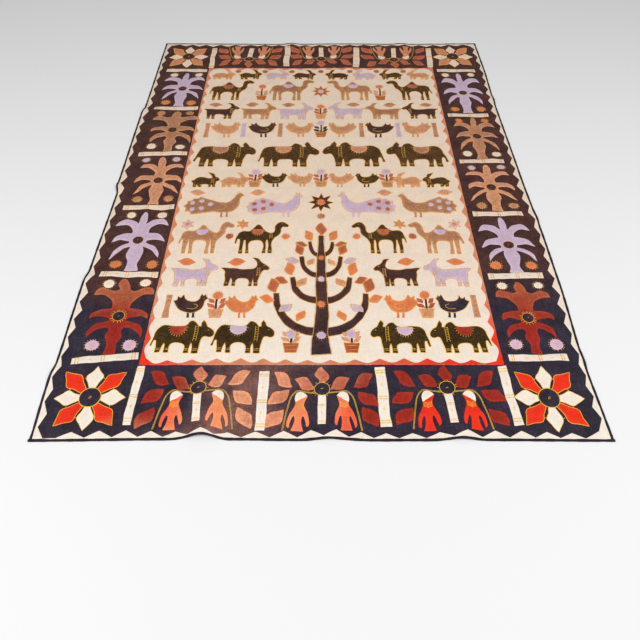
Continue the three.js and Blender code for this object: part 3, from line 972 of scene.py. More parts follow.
# %% Palms
# The radius of the disc in the middle of a palm.
DISC = 18.5
# Each palm from the near end: pattern, dye, the place of its disc, half its width, how far
# its sprout leans, and the dye and radius of the rosettes above and below it.
PALMS = {
    -1: [(BROAD_PALM, "brick", (-648, -655), 98, -17, ("cream", 18), ("lilac", 20)),
         (ARCHED_PALM, "lilac", (-658, -323), 99, 2, ("cream", 17), ("orange", 19)),
         (THIN_PALM, "tan", (-643, 1), 92, -6, ("lilac", 15), ("umber", 18)),
         (BROAD_PALM, "umber", (-641, 331), 98, 3, ("umber", 15), ("cream", 19)),
         (ARCHED_PALM, "lilac", (-650, 650), 97, 4, ("cream", 17), ("orange", 19))],
    1: [(BROAD_PALM, "brick", (661, -663), 89, -8, ("cream", 15.5), ("lilac", 20)),
        (ARCHED_PALM, "lilac", (664, -346), 93, 0, None, ("orange", 19)),
        (THIN_PALM, "tan", (665, -40), 91, 3, ("lilac", 14), ("umber", 17)),
        (ARCHED_PALM, "umber", (668, 285), 91, 2, ("orange", 14), ("cream", 18)),
        (ARCHED_PALM, "lilac", (664, 618), 92, -3, ("cream", 16), ("orange", 18))],
}
ROSETTES_AT = {-1: (590.0, 709.0), 1: (606.0, 727.0)}
ROSETTES_UNDER, ROSETTES_OVER = 40.0, 46.0


def rosette(at, slot, radius, squeeze=1.0):
    """A round scrap with sixteen rays and one small stitch in the middle."""
    sew("rosettes", slot, moved(ring(radius, squeeze), at), step=4.0, uneven=0.6)
    rays("stitches_borders", at, radius - 0.5, radius + 5.5, 16, 0.1, squeeze)
    stitch("stitches_borders", (at[0] - 2.5, at[1] - 1), (at[0] + 2.5, at[1] + 1.5), 0.9)


def eye(at, rayed):
    """The dark disc of a palm with its ring of thread, and rays round it on some."""
    ringed(at, DISC, 1.5 if rayed else 1.1, on=0.85, squeeze=0.95, step=3.5)
    if rayed:
        rays("stitches_borders", at, DISC + 1, DISC + 8.5, 16, 0.85)
    stitch("stitches_borders", (at[0] - 2.4, at[1] - 1.2), (at[0] + 2.4, at[1] + 1.2), 1.8, 1.3)


def palm_panel(side, bar_v, next_v, palm):
    """The panel from one bar to the next: a palm, its disc and its four rosettes."""
    pattern, dyed, disc, half, lean, above, below = palm
    foot, top = bar_v + SIDE_BAR_WIDTH / 2 + 4, next_v - SIDE_BAR_WIDTH / 2 - rng.uniform(6, 14)
    shape = fitted(pattern, half, top - disc[1], disc[1] - foot, lean)
    sew("palms", dyed, moved(shape, disc, rng.uniform(-1.5, 1.5)), uneven=2.0)
    eye(disc, rayed=dyed == "brick")
    for row_v, given in ((next_v - ROSETTES_UNDER, above), (bar_v + ROSETTES_OVER, below)):
        for u in ROSETTES_AT[side] if given else ():
            at = (side * (u + rng.uniform(-5, 5)), row_v + rng.uniform(-3, 3))
            rosette(at, given[0], given[1] * rng.uniform(0.94, 1.04), rng.uniform(0.82, 1.0))


for side, palms in PALMS.items():
    bars_v = [v for v, slant in SIDE_BARS[side]]
    for bar_v, next_v, palm in zip(bars_v, bars_v[1:], palms):
        palm_panel(side, bar_v, next_v, palm)
tell("palms", "rosettes")

# %% [markdown]
# A big flower fills each corner: eight petals round a dark disc, cream ones square to the
# cloth and longer red ones between. Thread runs round every petal and links it to the next
# where they come closest.

# %% Corner flowers
FLOWERS_AT = [(-663.0, -942.0), (656.0, -944.0), (662.0, 940.0), (-664.0, 938.0)]
FLOWER_DISC = 29.5
# The petals of each dye: how far the tip is out, half the width, and the first one's way.
PETALS = {"cream": (101.0, 23.5, 0), "red": (119.0, 25.0, 45)}
# How far out the links between the petals are, and half their length.
LINKS_AT, LINK_HALF = 67, 4.5


def petal(tip, half):
    """A petal that points along +u, from the disc out to its tip, widest before its middle."""
    side = [(FLOWER_DISC - 2, 7.5, C), (0.45 * tip, 0.62 * half), (0.64 * tip, half),
            (0.82 * tip, 0.52 * half)]
    return [(a, -b, *rest) for a, b, *rest in side] + [(tip, 0, C)] + side[::-1]


def corner_flower(u, v):
    """Eight petals with thread round each, the links between them, and the disc."""
    for slot, (tip, half, first) in PETALS.items():
        for turn in range(first, 360, 90):
            shape = moved(petal(tip * rng.uniform(0.96, 1.03), half), (u, v), turn + rng.uniform(-4, 4))
            cut = sew("petals", slot, shape, uneven=1.2)
            couch("couching_borders", cut + outward(cut) * 0.3, 0.25, 1.7, closed=True)
    around = np.radians(np.arange(22.5, 360, 45))
    link = np.column_stack([np.cos(around), np.sin(around)]) * LINKS_AT + (u, v)
    side = np.column_stack([-np.sin(around), np.cos(around)]) * LINK_HALF
    stitch("stitches_borders", link - side, link + side, 0.5, 2.0)
    ringed((u, v), FLOWER_DISC, 2.3, on=0.85, uneven=0.03, cut=(0.6, 0.4), gap=0.8)
    oval = curve([(u - 3, v - 3), (u + 2.5, v - 1), (u + 2, v + 4)], 2.5)
    couch("couching_borders", oval, 1.6, 1.2, closed=True)


for u, v in FLOWERS_AT:
    corner_flower(u, v)
tell("petals")

# %% [markdown]
# Between the bars of each end border, leaves spring from a disc on a pole, and a small
# figure in a white cap stands on either side of it, under a double line of thread like a
# tent's. These panels are a traditional repeat of such cloths. A leaf is blunt at one end,
# and a figure is cut in one piece with its hands.

# %% Leaf and figure
FIGURE = [(-17, -120, C), (17, -119, C), (12, -100), (10.5, -80), (13, -74), (18, -82), (23, -96),
          (27, -105), (31, -101), (31, -84), (26, -66), (18, -50), (14, -39), (16, -26),
          (21, -10, C), (-12, -31, C), (-13, -42), (-19, -56), (-27, -74), (-31, -94), (-30, -108),
          (-26, -112), (-22, -98), (-17, -82), (-13, -76), (-10.5, -82), (-12, -100)]
CAP = [(-13, -32, C), (-15, -18), (-11, -4), (-1, 2), (10, 0), (21, -10, C)]


def leaf(length, width):
    """A leaf along +u from its blunt end to its tip."""
    half = [(-0.5, 0), (-0.30, 0.27), (-0.09, 0.47), (0.0, 0.5), (0.10, 0.44), (0.30, 0.24), (0.5, 0)]
    right = [((a - 0.05) * length, -b * width) for a, b in half[1:-1]]
    left = [((a + 0.07) * length, b * width) for a, b in half[-2:0:-1]]
    return [(-0.5 * length, 0, C), *right, (0.5 * length, 0, C), *left]


def figure(at, side, end):
    """A figure that is cut in one piece with its hands, a cap, and a necklace of stitches."""
    turn = 180 * (end > 0) + 3.0 * side + rng.uniform(-2, 2)
    place = dict(at=at, turn=turn, size=rng.uniform(0.98, 1.02), flip=side > 0)
    sew("figures", "red", moved(FIGURE, **place), uneven=0.9, step=4.0)
    sew("caps", "cream", moved(CAP, **place), on=0.5, uneven=0.5, step=4.0)
    for row in range(4):
        low = -36 - 4.5 * row
        wave = [(du, low - 3 * (i % 2) + abs(du) * 0.5)
                for i, du in enumerate(np.linspace(-12, 13, 7))]
        neck = np.array(moved(wave, **place))
        stitch("stitches_borders", neck[:-1], neck[1:], 0.85, 1.7)

print("points of a leaf:", len(leaf(70, 42)), "and of a figure:", len(FIGURE))

# %% [markdown]
# One leaf stands on the disc and four pairs hang beside it, each turned and slipped a
# little by chance, because they were laid by eye. The far panels are turned round, so
# that they face the other end of the cloth.

# %% Leaf panels
# Each panel: where its disc lies, and how far the foot of its pole leans.
LEAF_PANELS = [(-358.0, 915.0, 7), (2.0, 917.0, -1), (366.0, 913.0, 5)]
# Each leaf of the right half: its middle from the disc, its way in degrees, length, width.
LEAVES = [(54, 24, 33, 67, 42), (118, 34, 40, 76, 42), (128, -26, -33, 77, 44), (136, -89, -52, 77, 45)]
# The radius of the disc in the middle of a panel.
PANEL_DISC = 22


def leaf_panel(u, v, lean, end):
    """One panel: end is -1 for the near border and 1 for the far one, which is turned round."""
    def there(points):
        """Points of the panel where they lie on the cloth."""
        return moved(points, (u, v), 180 * (end > 0))

    sew("leaves", "brick", there(moved(leaf(62, 42), (0, 46), 90 + rng.uniform(-4, 4))), uneven=1.3)
    for dx, dy, way, length, width in LEAVES:
        for flip in (False, True):
            shape = leaf(length * rng.uniform(0.92, 1.04), width)
            shape = moved(shape, (0, 0), way + rng.uniform(-6, 6))
            shape = moved(shape, (dx + rng.uniform(-5, 5), dy + rng.uniform(-5, 5)))
            sew("leaves", "brick", there(moved(shape, (0, 0), flip=flip)), uneven=1.4)
    pole = [(-12, -20, C), (12, -20, C), (lean + 11, -113, C), (lean - 11.5, -112, C)]
    sew("poles", "cream", there(pole), uneven=0.7)
    for share in (0.32, 0.37, 0.88, 0.93):
        dx, dy = lean * share, -20 - 93 * share
        ends = np.array(there([(dx - 11.5, dy), (dx + 11.5, dy - 1)]))
        stitch("stitches_borders", ends[0], ends[1], 0.8, 1.9)
    ends = np.array(there([(lean * 0.6 - 1, -72), (lean * 0.6 + 1, -81)]))
    stitch("stitches_borders", ends[0], ends[1], 0.8, 1.9)
    for side in (-1, 1):
        figure(there([(side * 62, -10)])[0], side, end)
        for off in (-1.3, 1.3):
            tent = [(19, -13 + off), (45, -9 + off), (71 + off, -6 + off),
                    (87 + off, -21), (98 + off, -58), (111 + off, -127)]
            line = curve(there(moved(tent, (0, 0), flip=side < 0)), closed=False)
            couch("couching_borders", line, 0.2, 1.25)
    ringed((u, v), PANEL_DISC, 2.0, on=0.6, squeeze=0.94, cut=(0.6, 0.3), gap=0.7, turn=180 * (end > 0))
    rays("stitches_borders", (u, v), PANEL_DISC + 2, PANEL_DISC + 8, 14, 0.6, 0.94)
    stitch("stitches_borders", (u - 4, v - 1), (u + 4, v + 1.5), 1.6, 1.9)


for end in (-1, 1):
    for u, v, lean in LEAF_PANELS:
        leaf_panel(u, end * v, -end * lean, end)
tell("leaves", "figures")

# %% [markdown]
# The field is filled with rows, the same to the left and right of a dark tree: humped bulls,
# camels, goats, hares and birds, with plants in pots, posts, stars and lozenges between
# them. This design is a generic one, drawn for this lesson in the scale and dyes of such
# cloths. A beast is one piece of cotton: its back is a list of points from tail to chest,
# and its legs are added below the belly by a function, so that each kind is a short table.

# %% Shapes of the beasts
# Each leg: its right and left edge at the belly, and how far its foot leans. A collar has a
# place, a top and a foot, an eye a place, and a blanket, where there is one, a place and a
# radius.
BEASTS = {
    "bull": dict(
        belly=32, legs=[(60, 37, 1), (33, 14, 0), (-28, -46, 1), (-51, -72, -2)],
        back=[(-76, 44), (-86, 22, C), (-91, 24, C), (-83, 60), (-77, 82), (-64, 96), (-38, 98),
              (-8, 96), (10, 100), (24, 115), (40, 107), (47, 97), (56, 97), (54, 108), (61, 121, C),
              (69, 110), (74, 99), (86, 90), (98, 73), (96, 61), (86, 57), (76, 60), (69, 58),
              (64, 46)],
        blanket=(-14, 97, 26), collar=(43, 101, 38), eye=(80, 83)),
    "camel": dict(
        belly=66, legs=[(56, 39, 1), (33, 17, 0), (-30, -46, 1), (-53, -70, -2)],
        back=[(-74, 76), (-83, 52, C), (-88, 54, C), (-81, 88), (-74, 108), (-58, 119), (-34, 119),
              (-18, 133), (-2, 151), (14, 136), (28, 118), (44, 108), (56, 108), (64, 120),
              (67, 142), (76, 159), (92, 165), (109, 157), (120, 146), (113, 137), (96, 139),
              (89, 129), (86, 110), (78, 92), (64, 78)],
        blanket=(-2, 128, 24), collar=(50, 107, 72), eye=(93, 154)),
    "goat": dict(
        belly=31, legs=[(50, 34, 1), (31, 16, 0), (-24, -39, 1), (-44, -61, -2)],
        back=[(-64, 44), (-66, 62), (-79, 77, C), (-62, 77), (-36, 76), (0, 73), (32, 77), (42, 90),
              (38, 108), (24, 123, C), (44, 120), (55, 105), (61, 99), (72, 92), (83, 79), (79, 72),
              (66, 71), (58, 60), (53, 44)],
        collar=(47, 84, 38), eye=(65, 88)),
    "hare": dict(
        belly=13, legs=[(37, 26, 2), (21, 11, 0), (-16, -31, 5), (-35, -49, 1)],
        back=[(-51, 24), (-60, 36, C), (-50, 41), (-37, 54), (-12, 55), (10, 49), (21, 53), (15, 68),
              (3, 86, C), (26, 76), (33, 61), (44, 56), (52, 44), (49, 35), (41, 30), (40, 18)],
        collar=(25, 52, 16), eye=(38, 47)),
}


def body(kind):
    """A beast's outline: its back, then each leg from the chest to the tail, which narrows
    to its foot, with the belly drawn up a little between the legs."""
    shape = BEASTS[kind]
    belly, points = shape["belly"], list(shape["back"])
    for number, (right, left, lean) in enumerate(shape["legs"]):
        taper = 0.12 * (right - left)
        points += [(right, belly * 0.9), (right - taper + lean, 0, C), (left + taper + lean, 0, C)]
        points.append((left, belly * 0.9))
        if number + 1 < len(shape["legs"]):
            points.append(((left + shape["legs"][number + 1][0]) / 2, belly + 3))
    return points


for kind in BEASTS:
    print("points of a", kind, len(body(kind)))

# %% [markdown]
# A thread is couched round every beast. Each has a collar of two threads with rungs between,
# two bands round every leg, and a stitch for its eye, and bulls and camels carry a blanket
# with a fringe of stitches.

# %% Beasts
def outlined(kind, slot, points, on=0.0, uneven=1.5, width=2.0):
    """A patch of the field with a thread couched round its edge."""
    cut = sew(kind, slot, points, on, uneven)
    couch("couching_field", cut + outward(cut) * 0.4, on + 0.25, width, closed=True)


def ladder(u, half, heights, rise):
    """Starts and ends of stitches across a line that stands at u, one at each height."""
    u = np.full(len(heights), float(u))
    return np.column_stack([u - half, heights]), np.column_stack([u + half, heights + rise])


def blanket_of(shape):
    """The half round of a beast's blanket, then the starts and ends of its fringe."""
    u, v, radius = shape["blanket"]
    arc = [(u - radius, v - 1, C), (u - radius * 0.86, v - radius * 0.8), (u, v - radius * 1.3),
           (u + radius * 0.86, v - radius * 0.8), (u + radius, v - 1, C)]
    turn = np.radians(np.linspace(190, 350, 11))
    way = np.column_stack([np.cos(turn), 1.28 * np.sin(turn)])
    return arc, way * (radius + 0.5) + (u, v), way * (radius + 6) + (u, v)


def beast(kind, at, flip, slot, blanket=None, size=1.0):
    """A beast with its blanket, its collar of two threads, bands round its legs and its eye."""
    shape = BEASTS[kind]
    place = dict(at=at, turn=rng.uniform(-1.5, 1.5), size=size * rng.uniform(0.97, 1.02), flip=flip)

    def sewn(starts, ends, on, width):
        """Stitches that go with the beast."""
        stitch("stitches_field", moved(starts, **place), moved(ends, **place), on, width)

    outlined("beasts", slot, moved(body(kind), **place))
    if blanket:
        arc, starts, ends = blanket_of(shape)
        sew("blankets", blanket, moved(arc, **place), on=0.85, uneven=0.5, step=4.0)
        sewn(starts, ends, 0.85, 1.6)
    for right, left, lean in shape["legs"]:
        for height in (9, 14):
            sewn([(left + lean + 3, height)], [(right + lean - 3, height + 1)], 0.9, 1.6)
    u, top, bottom = shape["collar"]
    for off in (-4.5, 4.5):
        line = [(u + off, top - 4), (u + off + 1, (top + bottom) / 2), (u + off, bottom + 4)]
        couch("couching_field", curve(moved(line, **place), closed=False), 0.8, 1.6)
    sewn(*ladder(u, 3, np.arange(bottom + 10, top - 6, 9.0), 2), 0.9, 1.6)
    u, v = shape["eye"]
    sewn([(u - 2.5, v)], [(u + 2.5, v + 1)], 0.9, 2.0)


print("stitches in the fringe of a blanket:", len(blanket_of(BEASTS["bull"])[1]))

# %% [markdown]
# Birds are a few points each too. Legs, and later stems and branches, are limbs: a strip
# about a line, with a width at every point of it.

# %% Birds
# Each bird: its outline, where its legs are, the line of its wing, and its eye.
BIRDS = {
    "peacock": dict(
        outline=[(98, 118, C), (90, 127), (79, 129), (69, 121), (62, 106), (50, 90), (30, 80),
                 (2, 82), (-34, 97), (-66, 110, C), (-76, 102), (-92, 104, C), (-98, 92),
                 (-114, 88, C), (-114, 74), (-124, 62, C), (-116, 50), (-118, 34, C), (-102, 32),
                 (-94, 18, C), (-62, 24), (-24, 30), (12, 26), (40, 27), (62, 36), (76, 54),
                 (82, 78), (83, 98), (87, 110)],
        legs=(20, 40), wing=[(14, 68), (34, 60), (26, 44), (4, 40)], eye=[(82, 117), (86, 118)]),
    "cock": dict(
        outline=[(53, 80, C), (47, 88), (44, 98, C), (38, 91), (33, 99, C), (28, 90), (25, 80),
                 (14, 71), (-6, 70), (-22, 78), (-32, 96, C), (-40, 84), (-52, 92, C), (-53, 76),
                 (-64, 72, C), (-54, 52), (-34, 32), (-6, 22), (18, 24), (36, 38), (43, 56),
                 (46, 73)],
        legs=(-6, 12), wing=[(8, 58), (22, 50), (12, 38), (-14, 40)], eye=[(39, 80), (43, 81)]),
}
# The spots on a peacock's tail, and the stitches of its crest, from foot to tip.
TAIL_SPOTS = [(-94, 78), (-92, 44), (-60, 88), (-58, 50), (-26, 70)]
CREST = [(74, 128), (68, 140), (78, 129), (77, 143), (82, 128), (86, 140)]


def limb(points, halves):
    """A strip about a smooth line through points, with half widths eased between them."""
    line = curve(points, closed=False, step=7.0)
    share = np.linspace(0, len(halves) - 1, len(line))
    half = np.interp(share, np.arange(len(halves)), halves)[:, None]
    across = outward(line, closed=False) * half
    sides = ((line + across).tolist(), (line - across).tolist()[::-1])
    ends = (0, len(line) - 1)
    return [(*p, C) if i in ends else tuple(p) for side in sides for i, p in enumerate(side)]


def bird(kind, at, flip, slot, spots=None, size=1.0):
    """A bird on two legs with a stitched wing; one with spots on its tail has a crest too."""
    shape = BIRDS[kind]
    place = dict(at=at, turn=rng.uniform(-2, 2), size=size * rng.uniform(0.96, 1.02), flip=flip)
    for u in shape["legs"]:
        leg = limb([(u, 30), (u - 1, 14), (u + 1, 0)], [5, 3.6, 4.6])
        sew("birds", slot, moved(leg, **place), uneven=0.2)
    outlined("birds", slot, moved(shape["outline"], **place), on=0.15)
    couch("couching_field", curve(moved(shape["wing"], **place), closed=False), 0.95, 1.6)
    for centre in moved(TAIL_SPOTS, **place) if spots else ():
        sew("spots", spots, moved(ring(9.5), centre), on=1.0, step=3.5, uneven=0.3)
        rays("stitches_field", centre, 10, 14, 10, 1.0)
    if spots:
        crest = np.array(moved(CREST, **place))
        stitch("stitches_field", crest[0::2], crest[1::2], 0.3, 1.7)
    start, end = moved(shape["eye"], **place)
    stitch("stitches_field", start, end, 1.1, 1.8)


print("points of a bird's leg:", len(limb([(0, 30), (-1, 14), (1, 0)], [5, 3.6, 4.6])))

# %% [markdown]
# Plants in pots, stars, lozenges, round scraps and posts fill the room between the beasts,
# as small pieces left over from the large ones would.

# %% Plants and fillers
def plant(at, pot, leaves, bloom, height=104.0):
    """A pot with a stem, four leaves and a round flower with rays."""
    u, v = at
    top = (u, v + height - 14)
    stem = limb([(u, v + 30), (u + rng.uniform(-3, 3), v + height * 0.6), top], [4.2, 3.6, 3.0])
    sew("plants", "olive", stem, uneven=0.3)
    for side in (-1, 1):
        for dv, way, length in ((48, 38, 34), (68, 46, 29)):
            shape = moved(leaf(length, 17), (0, 0), 90 - side * (90 - way) + rng.uniform(-6, 6))
            sew("plants", leaves, moved(shape, (u + side * 18, v + dv)), on=0.2, uneven=0.5)
    sides = [(u - 17, v, C), (u + 17, v, C), (u + 24, v + 35, C), (u - 24, v + 35, C)]
    outlined("pots", pot, sides, uneven=0.7)
    bands = np.array([(u - 16, v + 10), (u - 19, v + 25)])
    stitch("stitches_field", bands, bands + [(32, 1), (38, 1)], 0.9, 1.6)
    sew("plants", bloom, moved(ring(16), top), on=0.3, step=4.0, uneven=0.5)
    rays("stitches_field", top, 16, 22, 14, 0.3)


def star(at, slot, middle, radius, points=8):
    """A star with a round middle and rays: its outline goes out to the full radius and back
    to about half of it."""
    shape = []
    for i in range(2 * points):
        angle, reach = math.pi * i / points, radius * (0.52 if i % 2 else 1.0)
        shape.append((at[0] + reach * math.sin(angle), at[1] + reach * math.cos(angle), C))
    outlined("stars", slot, shape)
    sew("spots", middle, moved(ring(radius * 0.3), at), on=0.85, step=4.0, uneven=0.4)
    rays("stitches_field", at, radius * 0.3, radius * 0.3 + 5, 12, 0.85)


def lozenge(at, slot, half):
    """A lozenge of half a width, turned a little by chance."""
    shape = [(half, 0, C), (0, 17), (-half, 0, C), (0, -17)]
    sew("lozenges", slot, moved(shape, at, rng.uniform(-8, 8)), uneven=0.8)


def spot(at, slot, radius):
    """A small round scrap with rays."""
    sew("spots", slot, moved(ring(radius), at), step=4.0, uneven=0.5)
    rays("stitches_field", at, radius - 0.5, radius + 5, 14, 0.1)


def post(at, slot, height=92.0):
    """A carved post: a narrow strip with stitches across it."""
    u, v = at
    shape = [(u - 11, v, C), (u + 11, v, C), (u + 9, v + height / 2), (u + 10, v + height, C),
             (u - 10, v + height, C), (u - 9, v + height / 2)]
    sew("posts", slot, shape, uneven=0.8)
    rungs = v + height * np.array([0.2, 0.4, 0.6, 0.8])
    stitch("stitches_field", *ladder(u, 8, rungs, 1.5), 0.8, 1.3)


print("heaps before the field is sewn:", len(heaps))

# %% [markdown]
# The tree of life stands in the middle of the near half. Trunk and branches are limbs of
# faded navy, laid over each other where they meet. Leaves spring from their ends, and round
# scraps lie up the trunk.

# %% The tree
TREE_FOOT = -800.0
# Each pair of branches: the points of the right one and its half widths.
BRANCHES = [([(6, 82), (58, 92), (112, 130), (142, 186), (148, 236)], [17, 15, 13, 11, 9]),
            ([(6, 206), (46, 214), (84, 250), (98, 306)], [14, 12, 10, 8]),
            ([(4, 312), (34, 320), (60, 352), (68, 398)], [11, 10, 8, 7]),
            ([(3, 404), (22, 412), (36, 438), (40, 470)], [9, 8, 7, 5])]
# Leaves of the right half: place from the tree's foot, way in degrees, length, dye.
TREE_LEAVES = [(160, 270, 72, 66, "brick"), (178, 214, 18, 52, "orange"), (116, 176, 140, 50, "lilac"),
               (66, 146, 118, 46, "orange"), (108, 342, 72, 60, "orange"), (134, 292, 20, 48, "brick"),
               (66, 282, 130, 48, "tan"), (76, 432, 70, 56, "brick"), (100, 380, 16, 46, "lilac"),
               (44, 500, 64, 54, "orange"), (70, 458, 14, 44, "brick"), (36, 372, 125, 36, "tan")]
TRUNK = ([(0, 0), (-3, 60), (3, 160), (0, 280), (0, 400), (0, 500)], [30, 22, 19, 17, 13, 8])
# Round scraps on the trunk: height, radius, dye.
TRUNK_SPOTS = [(70, 14, "lilac"), (190, 12, "orange"), (296, 11, "lilac"), (392, 9, "orange")]


def tree():
    """The whole tree: branches first, then the trunk over them, leaves and scraps."""
    def there(points, flip=False):
        """Points of the tree where they lie on the cloth."""
        return moved(points, (0, TREE_FOOT), flip=flip)

    for points, halves in BRANCHES:
        for flip in (False, True):
            outlined("tree", "dark", there(limb(points, halves), flip), on=0.12, uneven=1.2)
    outlined("tree", "dark", there(limb(*TRUNK)), on=1.5, uneven=1.2)
    for du, dv, way, length, slot in TREE_LEAVES:
        for flip in (False, True):
            shape = moved(leaf(length, length * 0.6), (du, dv), way + rng.uniform(-5, 5))
            outlined("leaves", slot, there(shape, flip), uneven=0.8, on=0.4)
    outlined("leaves", "brick", there(moved(leaf(64, 40), (0, 534), 90)), uneven=0.8, on=0.4)
    for dv, radius, slot in TRUNK_SPOTS:
        sew("spots", slot, moved(ring(radius), (0, TREE_FOOT + dv)), on=2.3, step=4.0, uneven=0.4)
        rays("stitches_field", (0, TREE_FOOT + dv), radius, radius + 5, 12, 2.2)


tree()
tell("tree", "leaves")

# %% [markdown]
# The rows are set out from the near end, each with its foot line. What stands to the right
# of the middle stands to the left too, turned to face the other way, and dyes change places
# from row to row. The tree leaves room for two beasts or birds on either side of it.

# %% Rows beside the tree
def row(sewn, kind, v, places, dyes, trims=(None,), size=1.0):
    """A row of beasts or birds that face the middle. Their dyes, and those of their blankets
    or spots, take turns from the first place on."""
    for number, u in enumerate(places):
        dyed, trim = dyes[number % len(dyes)], trims[number % len(trims)]
        for side in (-1, 1):
            sewn(kind, (side * u, v), side > 0, dyed, trim, size)


def each(sewn, v, places, *given):
    """The same thing at places on both sides of the middle; 0 is the middle itself."""
    for u in places:
        for side in (-1, 1) if u else (1,):
            sewn((side * u, v), *given)


ROW_NEAR = -792.0
row(beast, "bull", ROW_NEAR, (438, 249), ("olive",), ("brick", "lilac"))
each(plant, ROW_NEAR, (94,), "brick", "tan", "lilac", 82.0)

ROW_POTS = -662.0
row(bird, "cock", ROW_POTS, (258, 422), ("orange", "dark"), size=0.94)
each(plant, ROW_POTS, (341,), "tan", "brick", "orange")
each(post, ROW_POTS, (500,), "umber")

ROW_GOATS = -532.0
row(beast, "goat", ROW_GOATS, (264, 435), ("dark", "lilac"))
each(lozenge, ROW_GOATS + 107, (293, 466), "orange", 33)

ROW_CAMELS = -386.0
row(beast, "camel", ROW_CAMELS, (226, 428), ("olive", "fawn"), ("brick", "lilac"), size=0.94)
each(star, ROW_CAMELS + 143, (288,), "umber", "orange", 25, 6)
each(star, ROW_CAMELS + 143, (490,), "lilac", "orange", 25, 6)
each(spot, ROW_CAMELS + 82, (128,), "orange", 14)
each(spot, ROW_CAMELS + 82, (330,), "brick", 14)
tell("beasts", "plants")

# %% [markdown]
# Past the tree the rows go right across the field. Large kinds and small ones mix, and no
# two rows that lie side by side are alike.

# %% Rows past the tree
ROW_PEACOCKS = -206.0
row(bird, "peacock", ROW_PEACOCKS, (160, 392), ("lilac", "fawn"), ("brick", "lilac"))
each(lozenge, ROW_PEACOCKS + 136, (246, 478), "tan", 32)
each(star, ROW_PEACOCKS + 80, (0,), "dark", "orange", 50)
each(spot, ROW_PEACOCKS + 6, (0,), "umber", 15)

ROW_HARES = -38.0
row(beast, "hare", ROW_HARES, (339, 454), ("tan", "olive"))
row(bird, "cock", ROW_HARES, (76, 181), ("tan", "olive"), size=0.86)
each(plant, ROW_HARES, (0, 261), "umber", "brick", "lilac", 102.0)

ROW_BULLS = 86.0
row(beast, "bull", ROW_BULLS, (138, 401), ("olive",), ("tan", "umber"), size=1.36)

ROW_COCKS = 280.0
row(bird, "cock", ROW_COCKS, (90, 249, 408), ("tan", "dark"), size=1.1)
for u, slot in ((176, "umber"), (335, "lilac"), (494, "umber")):
    each(post, ROW_COCKS, (u,), slot, 100.0)
each(plant, ROW_COCKS, (0,), "brick", "olive", "lilac", 116.0)

ROW_HERD = 412.0
row(beast, "goat", ROW_HERD, (118, 283, 448), ("lilac", "fawn", "dark"))
each(lozenge, ROW_HERD + 108, (147, 312, 477), "umber", 32)
each(plant, ROW_HERD, (0,), "tan", "brick", "orange", 108.0)

ROW_TRAIN = 558.0
row(beast, "camel", ROW_TRAIN, (150, 432), ("fawn", "olive"), ("lilac", "brick"))
each(plant, ROW_TRAIN, (275,), "brick", "tan", "orange", 124.0)
each(star, ROW_TRAIN + 70, (0,), "brick", "lilac", 44)

ROW_FAR = 732.0
row(beast, "hare", ROW_FAR, (76, 206, 336, 466), ("dark", "lilac", "olive", "tan"))
each(spot, ROW_FAR + 70, (0, 141, 271, 401), "brick", 13)
tell("beasts", "birds", "plants", "stars", "spots")

# %% [markdown]
# Now the heaps become pieces, one mesh for each kind and dye. The sawtooth strips and the
# tapes stand for the model's own, so they take their places.

# %% Pieces from the heaps
made = {name: gathered.make(name) for name, gathered in heaps.items()}
for name, piece in made.items():
    print(name, len(piece.data.polygons), "triangles")

STRIP_SLOTS = {"teeth_outer": "cream", "teeth_inner": "red", "binding": "tape"}
for kind, slot in STRIP_SLOTS.items():
    for side in SIDES:
        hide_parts(f"{kind}_{side}")

# %% [markdown]
# For each sheet of ground cloth, the pieces that lie over it are found and counted, with a strip just
# past the rim for the border sheets, and how many there are is printed.

# %% Sheets with what is sewn on them
RIM_REACH = 10.0


def touches(piece, low, high):
    """True if any point of a piece lies over a rectangle of the cloth, given in mm."""
    points = np.empty(3 * len(piece.data.vertices), np.float32)
    piece.data.vertices.foreach_get("co", points)
    flat = points.reshape(-1, 3)[:, :2] / MM
    return bool(((flat > low) & (flat < high)).all(axis=1).any())


for node, (_, low, high, _) in SHEETS.items():
    reach = 0.0 if node == "field" else RIM_REACH
    bottom = [a - reach if abs(a) > SEAM_V - 1 or abs(a) > HALF_W - 9 else a for a in low]
    top = [a + reach if abs(a) > SEAM_V + 1 or abs(a) > HALF_W - 9 else a for a in high]
    sewn = [piece for piece in made.values() if touches(piece, bottom, top)]
    print(node, "carries", len(sewn), "pieces")

# %% [markdown]
# The cloth lies on a plain pale floor, which is no part of it.

# %% Floor
FLOOR_HALF = 12.0


def floor_finish():
    """Matt white paper, a little uneven in its gloss."""
    finish = Finish("pale_floor", roughness=0.8, specular=0.2, sheen=0.0)
    finish.surface("Base Color", (0.90, 0.90, 0.90, 1.0))
    finish.surface("Roughness", finish.clouds(0.72, 0.88, 0.4, 3.0))
    return finish.material


mesh = bpy.data.meshes.new("floor")
mesh.from_pydata([(-FLOOR_HALF, -FLOOR_HALF, 0), (FLOOR_HALF, -FLOOR_HALF, 0),
                  (FLOOR_HALF, FLOOR_HALF, 0), (-FLOOR_HALF, FLOOR_HALF, 0)], [], [(0, 1, 2, 3)])
mesh.materials.append(floor_finish())
floor = bpy.data.objects.new("floor", mesh)
bpy.context.scene.collection.objects.link(floor)
floor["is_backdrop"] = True
print("floor of", 2 * FLOOR_HALF, "m a side")

# %% [markdown]
# The camera stands where the picture was taken from: 1.3 m up, half a metre before the near
# edge, looking 55 degrees down through a 28 mm lens. That was worked out from the cloth's
# square corners and from where its long edges would meet.

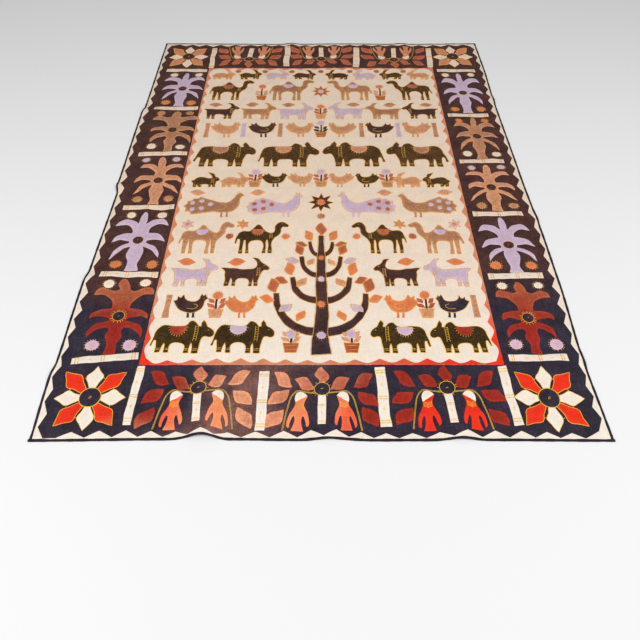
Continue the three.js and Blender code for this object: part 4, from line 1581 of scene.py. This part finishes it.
# %% Camera
CAMERA_AT = (-0.004, -1.574, 1.307)
LOOKS_DOWN = 55.29
camera = bpy.data.objects.new("camera", bpy.data.cameras.new("camera"))
camera.data.lens, camera.data.sensor_width = 28.0, 36.0
camera.location = CAMERA_AT
camera.rotation_euler = (math.radians(90 - LOOKS_DOWN), 0, 0)
bpy.context.scene.collection.objects.link(camera)
bpy.context.scene.camera = camera
print("the camera is", CAMERA_AT[2], "m up and looks", LOOKS_DOWN, "degrees down")

# %% [markdown]
# Soft studio light: a wide lamp to the left, low enough to draw out the wrinkles, a wider
# and weaker one to the right, and a pale room all round. The Standard view keeps the dyes
# as they were set, where the filmic one would wash the reds out.

# %% Light
# Each lamp: where it is, where it aims, its side in metres and its power in watts.
LAMPS = {
    "key": ((-2.3, -2.0, 2.9), (0, -0.2, 0), 1.8, 68.0),
    "fill": ((2.4, -1.8, 2.8), (0.1, -0.1, 0), 2.2, 62.0),
}
ROOM = 0.405


def lamp(name, place, aim, side, power):
    """A square lamp that faces a point."""
    light = bpy.data.lights.new(name, "AREA")
    light.shape, light.size, light.energy = "SQUARE", side, power
    made_lamp = bpy.data.objects.new(name, light)
    made_lamp.location = place
    made_lamp.rotation_euler = (Vector(aim) - Vector(place)).to_track_quat("-Z", "Y").to_euler()
    bpy.context.scene.collection.objects.link(made_lamp)


for name, given in LAMPS.items():
    lamp(name, *given)
room = bpy.data.worlds.new("room")
room.use_nodes = True
room.node_tree.nodes["Background"].inputs["Color"].default_value = (1.0, 1.0, 1.0, 1.0)
room.node_tree.nodes["Background"].inputs["Strength"].default_value = ROOM
bpy.context.scene.world = room
bpy.context.scene.view_settings.view_transform = "Standard"
print("lamps of", [given[-1] for given in LAMPS.values()], "W")

# %% [markdown]
# Last, the size. The dressed cloth is meant to fill the model's box, apart from what thin cotton and
# thread stand proud of it, and its own box is printed.

# %% Size, and the end
low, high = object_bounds()
print("dressed cloth from", [round(a, 4) for a in low], "to", [round(a, 4) for a in high])
